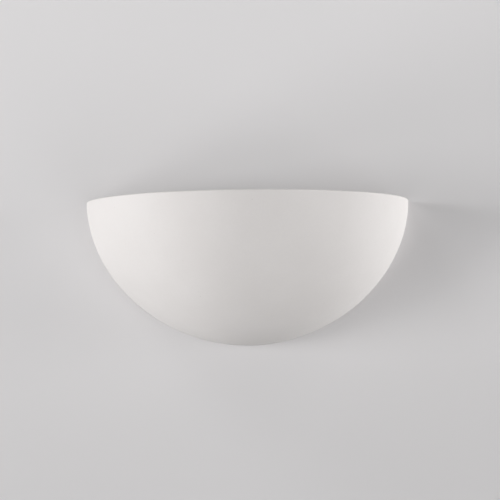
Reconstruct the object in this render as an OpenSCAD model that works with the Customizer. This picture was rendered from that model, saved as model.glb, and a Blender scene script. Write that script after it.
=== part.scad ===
// Half-bowl uplighter for a wall. A cast bowl hangs on a folded steel bracket, which carries a
// side-mounted screw lampholder with its lamp, a terminal block and the wires between them.
// Millimetres. The wall is the plane y = 0, the front faces -Y and +Z is up. The origin is the
// centre of the wall fixing slots, on the wall.

/* [Bowl] */
// Width across the rim, at the wall
bowl_w = 320; // [306:1:350]
// Height from the rim down to the lowest point
bowl_h = 143; // [136:1:180]
// Exponent of the side curve: 2 is an ellipse, less is leaner
bowl_power = 1.94; // [1.9:0.01:2.2]
// Thickness of the cast wall
bowl_wall = 9; // [6:0.5:11]
// Radius on both edges of the rim
rim_round = 1.5; // [0.5:0.5:2.5]
// Share of the bowl's height that stands above the wall fixings
rim_share = 0.4336; // [0.41:0.0001:0.47]

/* [Hanging bosses] */
// Least width of each boss, measured to the inside of the bowl
boss_w = 26; // [25:0.5:30]
// Depth of each boss, out from the wall
boss_depth = 31; // [28:1:34]
// Height of each boss
boss_h = 32; // [24:1:36]
// Gap from the bracket's end to the boss
boss_gap = 1.5; // [1:0.5:3]
// Distance of the rear insert from the wall
insert_back = 9; // [8:0.5:10]
// Distance between the front and the rear insert
insert_pitch = 14; // [12:0.5:15]
// Radius of a threaded insert
insert_r = 2.9; // [2.6:0.1:3.4]
// Length of a threaded insert
insert_l = 12; // [8:1:16]

/* [Wall bracket] */
// Height of the bracket's plate
bracket_h = 36; // [34:1:40]
// Thickness of its sheet steel
plate_t = 2; // [1.5:0.1:2.5]
// Inner radius of every bend
bend_r = 1; // [0.5:0.1:1.5]
// Radius of the plate's lower corners
corner_r = 5; // [2:0.5:8]
// Width of a ledge, along the wall
ledge_w = 20; // [19:1:24]
// Reach of a ledge, out from the wall
ledge_reach = 30; // [28:1:34]
// Distance between the two wall fixing slots
slot_pitch = 60; // [56:1:62]
// Length of a wall fixing slot
slot_l = 12; // [8:1:14]
// Width of a wall fixing slot
slot_w = 5; // [4:0.5:6]
// Diameter of the outer wall fixing holes
outer_hole_d = 5; // [4:0.5:6]

/* [Cable entry] */
// Diameter of the cable hole in the plate
entry_d = 16; // [14:1:18]
// Diameter of the bore in its rubber bush
entry_bore_d = 8; // [6:0.5:10]
// Width of the bush's flange around the hole
entry_flange = 2; // [1:0.5:2.5]
// Thickness of the bush's flange
entry_flange_t = 1.5; // [1:0.5:2]

/* [Bowl clamps] */
// Distance of the clamp screw from the wall
clamp_back = 16; // [14:0.5:18]
// Radius of the clamp screw's shank
clamp_r = 2.45; // [2:0.05:2.7]
// Radius of its knurled head
knob_r = 8; // [6:0.5:9]
// Height of its knurled head
knob_h = 9; // [6:0.5:10]
// Number of grooves round the head
knob_grooves = 20; // [12:1:24]
// Thickness of a hanger plate
hanger_t = 2; // [1.5:0.1:3]
// Radius of a clamp washer
washer_r = 6; // [5:0.5:7]
// Thickness of a clamp washer
washer_t = 1; // [0.8:0.1:1.6]
// Width of a nut plate
nut_w = 8; // [7:0.5:9]
// Thickness of a nut plate
nut_t = 4; // [3:0.5:5]
// Length of the screw below the nut plate
clamp_end = 3; // [1:0.5:3]

/* [Holder arm] */
// Distance of the lamp's axis from the wall
lamp_out = 64; // [60:1:65]
// Thickness of the arm's sheet steel
arm_t = 2; // [1.5:0.1:2.2]
// Half the height of the arm
arm_half = 11; // [10.8:0.1:12]
// Radius of the arm's round end
arm_end_r = 13; // [12.5:0.5:13.5]
// Length of the foot on the plate
foot_l = 26; // [24:1:30]
// Gap between the arm and the nut plate beside it
arm_gap = 2; // [1:0.5:3]
// Distance of the wire hole from the wall
wire_hole_back = 14; // [13:0.5:15]
// Radius of the wire hole
wire_hole_r = 5; // [4.5:0.5:5.5]

/* [Lampholder] */
// Outer radius of the holder
holder_r = 19.5; // [19:0.5:20]
// Wall of the rear cap
holder_wall = 2.5; // [2:0.1:2.6]
// Length of the rear cap
holder_cap_l = 20; // [19:0.5:21]
// Radius of the cap's domed edge
dome_r = 9; // [7:0.5:10]
// Length of the cap's spigot in the skirt
spigot_l = 7; // [6:0.5:8]
// Thickness of the ceramic core
core_t = 3; // [2.5:0.5:4]
// Length of the skirt
skirt_l = 34; // [30:1:36]
// Radius of the hollow nipple
nipple_r = 4.95; // [4.8:0.05:5.2]
// Radius of the nipple's bore
nipple_bore_r = 3.4; // [3.2:0.1:3.6]
// Length of the nipple inside the cap
nipple_in = 8; // [6:0.5:9]

/* [Screw thread of the lamp] */
// Pitch of the rounded thread
thread_pitch = 3.629; // [3.4:0.001:3.8]
// Mean radius of the lamp cap's thread
thread_r = 12.65; // [12.4:0.01:12.8]
// Rise of the thread above and below the mean
thread_rise = 0.45; // [0.3:0.01:0.5]
// Radial gap between the cap and the screw shell
thread_gap = 0.25; // [0.22:0.01:0.35]
// Thickness of the screw shell
shell_t = 0.6; // [0.4:0.1:0.9]
// Length of the screw shell
shell_l = 20; // [16:1:22]

/* [Lamp] */
// Radius of the lamp's globe
globe_r = 30; // [26:0.5:31]
// Length of the whole lamp
lamp_l = 110; // [106:1:114]
// Length of the threaded cap
cap_l = 18; // [17:0.5:19]
// Length of the housing between cap and globe
housing_l = 33; // [30:1:35]
// Wall of the globe and housing
envelope_t = 1.5; // [1.2:0.1:1.8]
// Thickness of the board that carries the light sources
board_t = 1.6; // [1:0.1:2]
// Number of light sources on the board
chip_count = 12; // [8:1:14]

/* [Terminal block] */
// Distance between two poles
pole_pitch = 11; // [10.5:0.5:12]
// Height of the block
block_h = 18; // [17:1:20]
// Depth of the block, out from the plate
block_depth = 16; // [15:0.5:18]
// Gap from the end of the wall slot to the block
block_gap = 11.5; // [11:0.5:13]
// Outer radius of a brass insert
pole_r = 2.8; // [2.6:0.1:3]
// Bore radius of a brass insert
pole_bore_r = 1.8; // [1.6:0.1:1.9]

/* [Earth connection] */
// Distance of the stud from the end of the wall slot
stud_gap = 5; // [4:0.5:6]
// Distance of the stud below the middle of the plate
stud_down = 11; // [10.5:0.5:12]
// Radius of the stud
stud_r = 1.95; // [1.8:0.05:2.1]
// Length of the stud in front of the plate
stud_l = 8; // [7:0.5:10]

/* [Wires] */
// Radius of each insulated wire
wire_r = 1.2; // [1:0.05:1.2]
// Radius of a ferrule's pin
pin_r = 0.6; // [0.5:0.05:0.7]

/* [Hidden] */
$fn = 64;

// Clearances: a turning or pressed fit, a loose hole round a screw, and what a cut runs past a face
fit = 0.05;
loose = 0.3;
past = 1;

// The bowl's two curves of revolution
rim_r = bowl_w / 2;
rim_up = bowl_h * rim_share;
curve_steps = 40;
round_steps = 6;
inner_rim_r = rim_r - bowl_wall;
inner_h = bowl_h - bowl_wall;

// Screw sizes: shank radius, head radius, head height and slot
m4_r = 1.95;
m4_head_r = 3.8;
m4_head_h = 2.5;
m3_r = 1.45;
m25_r = 1.2;
m25_head_r = 2.2;
m25_head_h = 1.6;
slot_cut_w = 0.9;
slot_depth_share = 0.45;
tip_gap = 0.2;

// Bracket, ledges and bosses. The bracket's length is in whole millimetres.
ledge_z = bracket_h / 2;
ledge_inner_r = curve_r(rim_up - ledge_z, inner_rim_r, inner_h);
bracket_half = floor(ledge_inner_r - boss_w - boss_gap);
bracket_w = 2 * bracket_half;
slot_end_x = (slot_pitch + slot_l) / 2;
bend_out_r = bend_r + plate_t;
ledge_in_x = bracket_half - ledge_w;
clamp_x = bracket_half - ledge_w / 2;
clamp_slot_w = 2 * (clamp_r + loose);
boss_in_x = bracket_half + boss_gap;
insert_x = (boss_in_x + ledge_inner_r) / 2;
hanger_inset = 0.5;
hanger_in_x = ledge_in_x + 2 * hanger_inset;
hanger_front = ledge_reach - hanger_inset;
hanger_back = bend_out_r - hanger_inset;
hanger_edge = 2.5;
hanger_out_x = sqrt(pow(ledge_inner_r, 2) - pow(hanger_front, 2)) - hanger_edge;
hanger_corner_r = 3;
hanger_top = ledge_z + hanger_t;
screw_short = 1;
plate_screw_l = hanger_t + insert_l - screw_short;

// Clamp screw and nut plate
knob_bottom = hanger_top + washer_t;
nut_top = ledge_z - plate_t;
clamp_tip = nut_top - nut_t - clamp_end;
nut_back = plate_t + loose;
nut_reach = 8;
nut_front = clamp_back + nut_reach;
nut_chamfer = bend_r + 0.4;
groove_r = 0.8;
knob_dish_r = 0.55 * knob_r;
knob_dish_depth = 1;
knob_collar_h = 0.2 * knob_h;

// Lamp axis: it starts at the arm's face, where the holder seats, and runs along +X
seat_x = -(clamp_x - nut_w / 2 - arm_gap - arm_t);
arm_back_x = seat_x - arm_t;
foot_screw_off = 14;
foot_screw_x = arm_back_x + foot_screw_off;
foot_screw_z = arm_half - m4_head_r - tip_gap;
nipple_hole_r = nipple_r + 0.15;
locknut_t = 3;
locknut_r = 7.5;
nipple_end = 1;
nipple_out = arm_t + locknut_t + nipple_end;
bush_lip_t = 1;
bush_lip = 1.5;

// Lampholder, along the lamp axis from its seat
spigot_r = holder_r - holder_wall;
spigot_wall = 1.8;
spigot_in_r = spigot_r - spigot_wall;
core_back = holder_cap_l + spigot_l;
core_front = core_back + core_t;
core_r = spigot_r + 0.1;
skirt_bore_r = spigot_r + loose;
skirt_step_lap = 0.6;
skirt_step_r = spigot_in_r + skirt_step_lap;
skirt_step_t = 3;
skirt_front = holder_cap_l + skirt_l;
skirt_chamfer = 1;
strip_t = 0.5;
post_off = 8;
post_l = 5;
post_half_w = 3;
post_bore_r = pin_r + 0.2;
stem_r = 1.4;
leaf_half_w = 3;
leaf_rise = 2;
leaf_tail = 2;
leaf_foot_x = post_off - 3.2;
leaf_top_x = 2.5;
leaf_slant = 0.3;
strap_half_w = 2.5;
strap_tail = 1.9;
pocket_gap = 0.2;

// Lamp, along the same axis
contact_at = core_front + leaf_rise + strip_t;
contact_t = 1.5;
contact_r = 4.5;
insulator_at = contact_at + contact_t;
insulator_t = 3;
cap_at = insulator_at + insulator_t;
cap_wall = 0.9;
cap_bore_r = thread_r - thread_rise - cap_wall;
cap_plug_r = cap_bore_r - 2 * fit;
strap_end_x = thread_r + cap_wall;
housing_at = cap_at + cap_l;
neck_r = thread_r + thread_rise + cap_wall;
neck_plug_l = 4;
neck_wall = 1.5;
globe_at = housing_at + housing_l;
globe_end = contact_at + lamp_l;
globe_centre = globe_end - globe_r;
globe_seat_r = globe_r - 2.4;
board_front = globe_at - 2;
board_r = globe_seat_r - 3.5;
board_seat = 1.2;
chip_ring_r = board_r * 0.62;
chip_size = [2.8, 3.5, 0.7];
driver_half_w = 9;
driver_t = 1.2;
driver_foot = 7;
driver_at = cap_at + driver_foot;
coil_size = [5, 7, 10];
coil_at = 3;
capacitor_r = 4;
capacitor_l = 9;
capacitor_back = 12;

// Thread grid
thread_sides = 36;
rings_per_turn = 8;

// Terminal block
poles = [-1, 0, 1];
block_w = 3 * pole_pitch + 4;
block_x = slot_end_x + block_gap + block_w / 2;
pole_y = -(plate_t + block_depth / 2);
pole_l = block_h - 2;
pole_screw_z = pole_l / 2 - 3.5;
pole_screw_l = block_depth / 2 - pin_r - tip_gap - 2;
pole_screw_at = pin_r + tip_gap + pole_screw_l;
block_fix_x = block_x + pole_pitch / 2;
block_fix_depth = 4;

// Earth connection
stud_x = slot_end_x + stud_gap;
ring_t = 0.8;
ring_r = 4;
tongue_half_w = 1.6;
tongue_gap = 0.6;
barrel_r = 2;
barrel_from = 5.5;
barrel_l = 6;
barrel_y = -(plate_t + barrel_r + 0.1);
earth_washer_r = 4.4;
earth_washer_t = 1;
earth_nut_r = 4;
earth_nut_t = 3.2;

// Ferrules and the clip
collar_r = 1.75;
collar_l = 5;
collar_base = 0.5;
pole_pin_l = 8;
post_pin_l = 4;
clip_gap = 6;
clip_l = 8;
clip_x = -(slot_end_x + clip_gap + clip_l / 2);
clip_bottom = 6.8;
clip_top = 14.2;
clip_depth = 7;
clip_stud_r = 1.5;
wire_low_z = 9;
wire_high_z = 12;
wire_run_y = -7;

// Routes of the wires. Each starts at a pole, with offsets from the top of that pole.
function from_pole(i, offsets) = [
    for (d = offsets) [block_x + i * pole_pitch, pole_y, block_h / 2] + d
];

// From the clip through the arm's bush, round its back and through the nipple to a post
function to_post(run_z, side) = [
    for (x = [clip_l, -5, -10]) [clip_x + x, wire_run_y, run_z],
    [(clip_x + arm_back_x) / 2, -wire_hole_back + 2.2, run_z - 0.48 * (run_z - side * pair_off)],
    [arm_back_x + 10, -wire_hole_back, side * (pair_off + 0.2)],
    [arm_back_x - 1, -wire_hole_back - 0.4, side * pair_off],
    [arm_back_x - 9, -wire_hole_back - 10, side * pair_off],
    [arm_back_x - 11, -lamp_out + 22, side * pair_off],
    [arm_back_x - 9.5, -lamp_out + 7, side * pair_off],
    [arm_back_x - 3.5, -lamp_out, side * pair_off],
    [seat_x + 2, -lamp_out, side * pair_off],
    [seat_x + 9, -lamp_out, side * (pair_off + 0.6)],
    [seat_x + post_wire_at - 8.8, -lamp_out, side * (post_off - 1.8)],
    for (w = [4.6, 0]) [seat_x + post_wire_at - w, -lamp_out, side * post_off]
];
pair_off = 1.4;
post_wire_at = core_back - post_l - collar_base - 0.1;
run_from_x = entry_d / 2 + 4;
live_route = concat(
    from_pole(1, [
        [0, 0, 0.6], [0, 0, 5.2], [-0.6, 0, 8.5], [-5, 0.4, 13.4], [-17, 0.7, 14.2],
        [-33, 1.2, 10.5], [-49, 2.6, 4.6]
    ]),
    [[run_from_x, wire_run_y, wire_high_z]], to_post(wire_high_z, 1)
);
neutral_route = concat(
    from_pole(0, [
        [0, 0, 0.6], [0, 0, 5.2], [-1, -0.6, 8.5], [-8, -2.8, 10.6], [-22, -2, 7.6], [-38, 1.8, 1.8]
    ]),
    [[run_from_x, wire_run_y, wire_low_z]], to_post(wire_low_z, -1)
);
earth_route = concat(
    from_pole(-1, [[0, 0, 0.6], [0, 0, 5.2], [-1.5, 0.6, 8.2], [-6.6, 2.4, 7.6], [-12, 4.6, 1]]),
    [for (up = [2.5, 0, -5]) [stud_x, barrel_y, -stud_down + barrel_from + barrel_l + up]]
);
wire_sides = 8;

// Radius of a bowl curve at a depth below the rim
function curve_r(depth, r, h) = r * pow(1 - pow(depth / h, bowl_power), 1 / bowl_power);

// Points of a bowl curve, from just below the rim at radius r to the lowest point at depth h
function bowl_curve(r, h, lip) = [
    for (i = [0:curve_steps])
        let (a = 90 * i / curve_steps, depth = max(h * pow(sin(a), 2 / bowl_power), lip))
            if (i == 0 || h * pow(sin(a), 2 / bowl_power) > lip || i == curve_steps)
                [i == curve_steps ? 0 : curve_r(depth, r, h), -depth]
];

// Points of a quarter circle, from angle a to a + turn
function arc_points(centre, r, a, turn) = [
    for (i = [0:round_steps])
        let (b = a + turn * i / round_steps)
            centre + r * [cos(b), sin(b)]
];

function reversed(list) = [for (i = [len(list) - 1:-1:0]) list[i]];

// Points of a smooth curve through a route, with two rings a stretch
function route_point(p, i, f) =
    let (a = p[max(i - 1, 0)], b = p[i], c = p[i + 1], d = p[min(i + 2, len(p) - 1)])
        (2 * b + (c - a) * f + (2 * a - 5 * b + 4 * c - d) * f * f
            + (3 * b - a - 3 * c + d) * f * f * f) / 2;
function smooth_route(p, steps) = concat(
    [for (i = [0:len(p) - 2]) for (k = [0:steps - 1]) route_point(p, i, k / steps)],
    [p[len(p) - 1]]
);
function unit(v) = v / norm(v);
function headings(q) = [
    for (i = [0:len(q) - 1]) unit(q[min(i + 1, len(q) - 1)] - q[max(i - 1, 0)])
];
function square_to(t) = unit(cross(t, abs(t[0]) < 0.9 ? [1, 0, 0] : [0, 1, 0]));
function carried(t, i, side) =
    i == len(t) ? [] :
    let (n = unit(side - (side * t[i]) * t[i]))
        concat([n], carried(t, i + 1, n));

// Two triangles for each cell between two rings of points
function skin(first, sides) = [
    for (k = [0:sides - 1])
        let (a = first + k, b = first + (k + 1) % sides)
            each [[a, a + sides, b + sides], [a, b + sides, b]]
];

// A tube swept along a route
module tube(route, r, steps) {
    q = smooth_route(route, steps);
    t = headings(q);
    n = carried(t, 0, square_to(t[0]));
    rings = len(q);
    points = [
        for (i = [0:rings - 1])
            for (k = [0:wire_sides - 1])
                let (a = 360 * (k + 0.5) / wire_sides)
                    q[i] + r * (cos(a) * n[i] + sin(a) * cross(t[i], n[i]))
    ];
    faces = concat(
        [[for (k = [0:wire_sides - 1]) k]],
        [for (i = [0:rings - 2]) each skin(i * wire_sides, wire_sides)],
        [[for (k = [wire_sides - 1:-1:0]) (rings - 1) * wire_sides + k]]
    );
    polyhedron(points = points, faces = faces);
}

// A sleeve between two heights: each side is plain, or follows the rounded thread
module threaded_sleeve(from, to, outer_r, outer_rise, inner_r, inner_rise) {
    rings = ceil((to - from) / thread_pitch * rings_per_turn);
    function ring(i, r, rise) =
        let (w = from + (to - from) * i / rings)
            [for (k = [0:thread_sides - 1])
                let (a = 360 * k / thread_sides, c = r + rise * cos(360 * w / thread_pitch - a))
                    [c * cos(a), c * sin(a), w]];
    inner_rings = inner_rise == 0 ? 1 : rings;
    inner_first = (rings + 1) * thread_sides;
    top = rings * thread_sides;
    inner_top = inner_first + inner_rings * thread_sides;
    points = concat(
        [for (i = [0:rings]) each ring(i, outer_r, outer_rise)],
        [for (i = [0:inner_rings]) each ring(i * rings / inner_rings, inner_r, inner_rise)]
    );
    outer_faces = [for (i = [0:rings - 1]) each skin(i * thread_sides, thread_sides)];
    inner_faces = [
        for (i = [0:inner_rings - 1])
            for (f = skin(inner_first + i * thread_sides, thread_sides)) reversed(f)
    ];
    end_faces = [
        for (k = [0:thread_sides - 1])
            let (m = (k + 1) % thread_sides)
                each [
                    [k, m, inner_first + m], [k, inner_first + m, inner_first + k],
                    [top + m, top + k, inner_top + k], [top + m, inner_top + k, inner_top + m]
                ]
    ];
    polyhedron(points = points, faces = concat(outer_faces, inner_faces, end_faces));
}

// Places its children with their +Z along the lamp axis, from the holder's seat
module on_lamp_axis() {
    translate([seat_x, -lamp_out, 0]) rotate([0, 90, 0]) children();
}

// Lays a shape drawn in y and z flat in that plane and gives it a width along +X
module extrude_x(from, width) {
    translate([from, 0, 0]) rotate([90, 0, 90]) linear_extrude(width) children();
}

// Places its children with their +Z pointing forward, away from the wall
module facing_forward(x, y, z) {
    translate([x, y, z]) rotate([90, 0, 0]) children();
}

// A plain ring or tube
module ring(outer_r, bore_r, height) {
    difference() {
        cylinder(r = outer_r, h = height);
        translate([0, 0, -past]) cylinder(r = bore_r, h = height + 2 * past);
    }
}

// A slotted screw: its head stands on z = 0 and its shank runs down
module slotted_screw(shank_r, shank_l, head_r, head_h) {
    translate([0, 0, -shank_l]) cylinder(r = shank_r, h = shank_l + head_h / 2);
    difference() {
        cylinder(r = head_r, h = head_h);
        translate([-head_r - past, -slot_cut_w / 2, head_h * (1 - slot_depth_share)])
            cube([2 * (head_r + past), slot_cut_w, head_h]);
    }
}

// A screw without a head, as terminals have: its slotted top is at z = 0
module grub_screw(shank_r, shank_l) {
    difference() {
        translate([0, 0, -shank_l]) cylinder(r = shank_r, h = shank_l);
        translate([-shank_r - past, -slot_cut_w / 2, -shank_l * slot_depth_share / 2])
            cube([2 * (shank_r + past), slot_cut_w, shank_l]);
    }
}

// A crimped ferrule: its collar runs up from z = 0 and its pin runs down
module ferrule(pin_l) {
    difference() {
        cylinder(r = collar_r, h = collar_l);
        translate([0, 0, collar_base]) cylinder(r = wire_r + fit, h = collar_l);
    }
    translate([0, 0, -pin_l]) cylinder(r = pin_r, h = pin_l + collar_base / 2);
}

// A quarter of a bend in sheet, below and left of its centre
module bend_section(thickness) {
    intersection() {
        difference() {
            circle(r = bend_r + thickness);
            circle(r = bend_r);
        }
        translate([-2 * (bend_r + thickness), -2 * (bend_r + thickness)])
            square(2 * (bend_r + thickness));
    }
}

// Half of a solid of revolution, in front of the wall, hung from the rim's height
module half_turned() {
    translate([0, 0, rim_up]) rotate_extrude(angle = 180, start = 180) children();
}

// The cast bowl: one shell with a boss on each side for the hanger plates
module plaster_bowl() color("#ece7e3") {
    lip = rim_round;
    outer = concat(
        arc_points([rim_r - lip, -lip], lip, 90, -90),
        bowl_curve(rim_r, bowl_h, lip)
    );
    inner = concat(
        arc_points([inner_rim_r + lip, -lip], lip, 90, 90),
        bowl_curve(inner_rim_r, inner_h, lip)
    );
    half_turned() polygon(concat(outer, reversed(inner)));
    difference() {
        intersection() {
            half_turned() polygon(concat(
                [[0, 0], [rim_r - bowl_wall / 2, 0]],
                bowl_curve(rim_r - bowl_wall / 2, bowl_h - bowl_wall / 2, lip)
            ));
            for (side = [0, 1]) mirror([side, 0, 0])
                translate([boss_in_x, -boss_depth, ledge_z - boss_h])
                    cube([rim_r - boss_in_x, boss_depth, boss_h]);
        }
        for (side = [0, 1]) mirror([side, 0, 0]) at_inserts()
            translate([0, 0, -insert_l - past]) cylinder(r = insert_r + fit, h = insert_l + 2 * past);
    }
}

// Places its children on the boss, over each insert
module at_inserts() {
    for (i = [0, 1])
        translate([insert_x, -(insert_back + i * insert_pitch), ledge_z]) children();
}

module plate_inserts() color("#b08d4a")
    for (side = [0, 1]) mirror([side, 0, 0]) at_inserts()
        translate([0, 0, -insert_l]) ring(insert_r, m4_r + fit, insert_l);

// A flat plate that is screwed on the boss and rests on the ledge
module hanger_plate(side) color("#c3c6c8")
    mirror([side, 0, 0]) translate([0, 0, ledge_z]) difference() {
        linear_extrude(hanger_t) union() {
            translate([hanger_in_x + hanger_corner_r, -hanger_front])
                square([hanger_out_x - hanger_in_x - 2 * hanger_corner_r, hanger_front - hanger_back]);
            translate([hanger_in_x, -hanger_front + hanger_corner_r])
                square([hanger_out_x - hanger_in_x, hanger_front - hanger_back - 2 * hanger_corner_r]);
            for (x = [hanger_in_x + hanger_corner_r, hanger_out_x - hanger_corner_r])
                for (y = [-hanger_front + hanger_corner_r, -hanger_back - hanger_corner_r])
                    translate([x, y]) circle(r = hanger_corner_r);
        }
        translate([clamp_x, -clamp_back, -past]) cylinder(r = clamp_r + loose, h = hanger_t + 2 * past);
        translate([0, 0, -ledge_z]) at_inserts()
            translate([0, 0, -past]) cylinder(r = m4_r + loose, h = hanger_t + 2 * past);
    }

module plate_screws() color("#b9bcbe")
    for (side = [0, 1]) mirror([side, 0, 0]) at_inserts()
        translate([0, 0, hanger_t]) slotted_screw(m4_r, plate_screw_l, m4_head_r, m4_head_h);

module thumb_washers() color("#c8cacb")
    for (side = [0, 1]) mirror([side, 0, 0])
        translate([clamp_x, -clamp_back, hanger_top]) ring(washer_r, clamp_r + loose, washer_t);

// A knurled clamp screw that goes down through the plate, the ledge's slot and the nut plate
module thumbscrew(side) color("#caa64f")
    mirror([side, 0, 0]) translate([clamp_x, -clamp_back, 0]) {
        translate([0, 0, clamp_tip]) cylinder(r = clamp_r, h = knob_bottom - clamp_tip + past);
        translate([0, 0, knob_bottom]) difference() {
            cylinder(r = knob_r, h = knob_h);
            for (i = [0:knob_grooves - 1])
                rotate([0, 0, 360 * i / knob_grooves])
                    translate([knob_r, 0, knob_collar_h])
                        cylinder(r = groove_r, h = knob_h, $fn = 24);
            translate([0, 0, knob_h - knob_dish_depth])
                cylinder(r = knob_dish_r, h = knob_dish_depth + past);
        }
    }

// A long nut whose back edge stays against the bracket's plate, so it can't turn
module nut_plate(side) color("#b9bcbe")
    mirror([side, 0, 0]) difference() {
        extrude_x(clamp_x - nut_w / 2, nut_w) polygon([
            [-nut_front, nut_top - nut_t], [-nut_back, nut_top - nut_t],
            [-nut_back, nut_top - nut_chamfer], [-nut_back - nut_chamfer, nut_top],
            [-nut_front, nut_top]
        ]);
        translate([clamp_x, -clamp_back, nut_top - nut_t - past])
            cylinder(r = clamp_r + fit, h = nut_t + 2 * past);
    }

// Wall plate of folded sheet: two ledges forward, wall fixings, cable hole and screw holes
module wall_bracket() color("#e6e6e4") difference() {
    union() {
        upright_plate();
        for (side = [0, 1]) mirror([side, 0, 0]) extrude_x(ledge_in_x, ledge_w) union() {
            translate([-bend_out_r, ledge_z - bend_out_r]) rotate(180) bend_section(plate_t);
            translate([-ledge_reach, ledge_z - plate_t]) square([ledge_reach - bend_out_r, plate_t]);
        }
    }
    for (side = [-1, 1]) {
        translate([side * slot_pitch / 2, 0, 0]) wall_slot();
        facing_forward(side * clamp_x, past, 0) cylinder(d = outer_hole_d, h = plate_t + 2 * past);
        clamp_slot(side);
        facing_forward(foot_screw_x, past, side * foot_screw_z)
            cylinder(r = m4_r + fit, h = plate_t + 2 * past);
    }
    facing_forward(0, past, 0) cylinder(d = entry_d, h = plate_t + 2 * past);
    facing_forward(block_fix_x, past, 0) cylinder(r = m25_r + fit, h = plate_t + 2 * past);
    facing_forward(stud_x, past, -stud_down) cylinder(r = stud_r + 0.5 + fit, h = plate_t + 2 * past);
    facing_forward(clip_x, past, (clip_top + clip_bottom) / 2)
        cylinder(r = clip_stud_r + fit, h = plate_t + 2 * past);
}

// The upright part of the bracket, up to the start of the bend
module upright_plate() {
    top = ledge_z - bend_out_r;
    rotate([90, 0, 0]) linear_extrude(plate_t) union() {
        translate([-bracket_half, -ledge_z + corner_r]) square([bracket_w, top + ledge_z - corner_r]);
        translate([-bracket_half + corner_r, -ledge_z]) square([bracket_w - 2 * corner_r, corner_r * 2]);
        for (side = [-1, 1])
            translate([side * (bracket_half - corner_r), -ledge_z + corner_r]) circle(r = corner_r);
    }
}

// A level slot through the plate
module wall_slot() {
    run = slot_l - slot_w;
    for (side = [-1, 1])
        facing_forward(side * run / 2, past, 0) cylinder(d = slot_w, h = plate_t + 2 * past);
    translate([-run / 2, -plate_t - past, -slot_w / 2]) cube([run, plate_t + 2 * past, slot_w]);
}

// The slot in a ledge, open at the front so that the clamp screw slides out
module clamp_slot(side) {
    translate([side * clamp_x, -clamp_back, ledge_z - plate_t - past])
        cylinder(d = clamp_slot_w, h = plate_t + 2 * past);
    translate([side * clamp_x - clamp_slot_w / 2, -ledge_reach - past, ledge_z - plate_t - past])
        cube([clamp_slot_w, ledge_reach - clamp_back + past, plate_t + 2 * past]);
}

// A snap-in rubber bush with its flange in front of the plate
module entry_grommet() color("#3a3a3a") difference() {
    union() {
        facing_forward(0, -tip_gap, 0) cylinder(d = entry_d - 2 * fit, h = plate_t);
        facing_forward(0, -plate_t, 0) cylinder(r = entry_d / 2 + entry_flange, h = entry_flange_t);
    }
    facing_forward(0, past, 0) cylinder(d = entry_bore_d, h = plate_t + entry_flange_t + 2 * past);
}

// A folded arm: its foot is screwed on the plate and its round end carries the lampholder
module holder_arm() color("#e6e6e4") difference() {
    bend_x = arm_back_x + arm_t + bend_r;
    bend_y = -(plate_t + arm_t + bend_r);
    union() {
        translate([0, 0, -arm_half]) linear_extrude(2 * arm_half) union() {
            translate([bend_x, -plate_t - arm_t]) square([foot_l - arm_t - bend_r, arm_t]);
            translate([bend_x, bend_y]) rotate(-90) bend_section(arm_t);
            translate([arm_back_x, bend_y - 1]) square([arm_t, 1]);
        }
        extrude_x(arm_back_x, arm_t) union() {
            translate([-lamp_out, -arm_half]) square([lamp_out + bend_y, 2 * arm_half]);
            translate([-lamp_out, 0]) circle(r = arm_end_r);
        }
    }
    on_lamp_axis() translate([0, 0, -arm_t - past]) cylinder(r = nipple_hole_r, h = arm_t + 2 * past);
    translate([arm_back_x - past, -wire_hole_back, 0]) rotate([0, 90, 0])
        cylinder(r = wire_hole_r, h = arm_t + 2 * past);
    for (side = [-1, 1])
        facing_forward(foot_screw_x, 0, side * foot_screw_z)
            cylinder(r = m4_r + loose, h = plate_t + arm_t + past);
}

module arm_screws() color("#b9bcbe")
    for (side = [-1, 1])
        facing_forward(foot_screw_x, -plate_t - arm_t, side * foot_screw_z)
            slotted_screw(m4_r, plate_t + arm_t - tip_gap, m4_head_r, m4_head_h);

// A rubber bush that grips both faces of the arm
module arm_grommet() color("#3a3a3a")
    translate([arm_back_x - bush_lip_t, -wire_hole_back, 0]) rotate([0, 90, 0]) difference() {
        union() {
            cylinder(r = wire_hole_r - fit, h = arm_t + 2 * bush_lip_t);
            for (z = [0, arm_t + bush_lip_t])
                translate([0, 0, z]) cylinder(r = wire_hole_r + bush_lip, h = bush_lip_t);
        }
        translate([0, 0, -past]) cylinder(r = nipple_bore_r, h = arm_t + 2 * (bush_lip_t + past));
    }

module nipple() color("#c8cacb")
    on_lamp_axis() translate([0, 0, -nipple_out]) ring(nipple_r, nipple_bore_r, nipple_out + nipple_in);

module nipple_locknut() color("#b9bcbe")
    on_lamp_axis() translate([0, 0, -arm_t - locknut_t]) difference() {
        cylinder(r = locknut_r, h = locknut_t, $fn = 6);
        translate([0, 0, -past]) cylinder(r = nipple_r + fit, h = locknut_t + 2 * past);
    }

// Rear dome of the lampholder, with the boss that the nipple screws into
module holder_cap() color("#f2f0ea") on_lamp_axis() {
    flat_r = holder_r - dome_r;
    difference() {
        union() {
            difference() {
                rotate_extrude() polygon(concat(
                    [[0, 0]],
                    arc_points([flat_r, dome_r], dome_r, -90, 90),
                    [[holder_r, holder_cap_l], [spigot_r, holder_cap_l], [spigot_r, core_back],
                        [0, core_back]]
                ));
                rotate_extrude() polygon(concat(
                    [[0, holder_wall]],
                    arc_points([flat_r, dome_r], dome_r - holder_wall, -90, 90),
                    [[spigot_r, holder_cap_l - 2], [spigot_in_r, holder_cap_l],
                        [spigot_in_r, core_back + past], [0, core_back + past]]
                ));
            }
            cylinder(r = nipple_r + holder_wall, h = nipple_in + 1);
        }
        translate([0, 0, -past]) cylinder(r = nipple_r + fit, h = nipple_in + 1 + 2 * past);
    }
}

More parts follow.
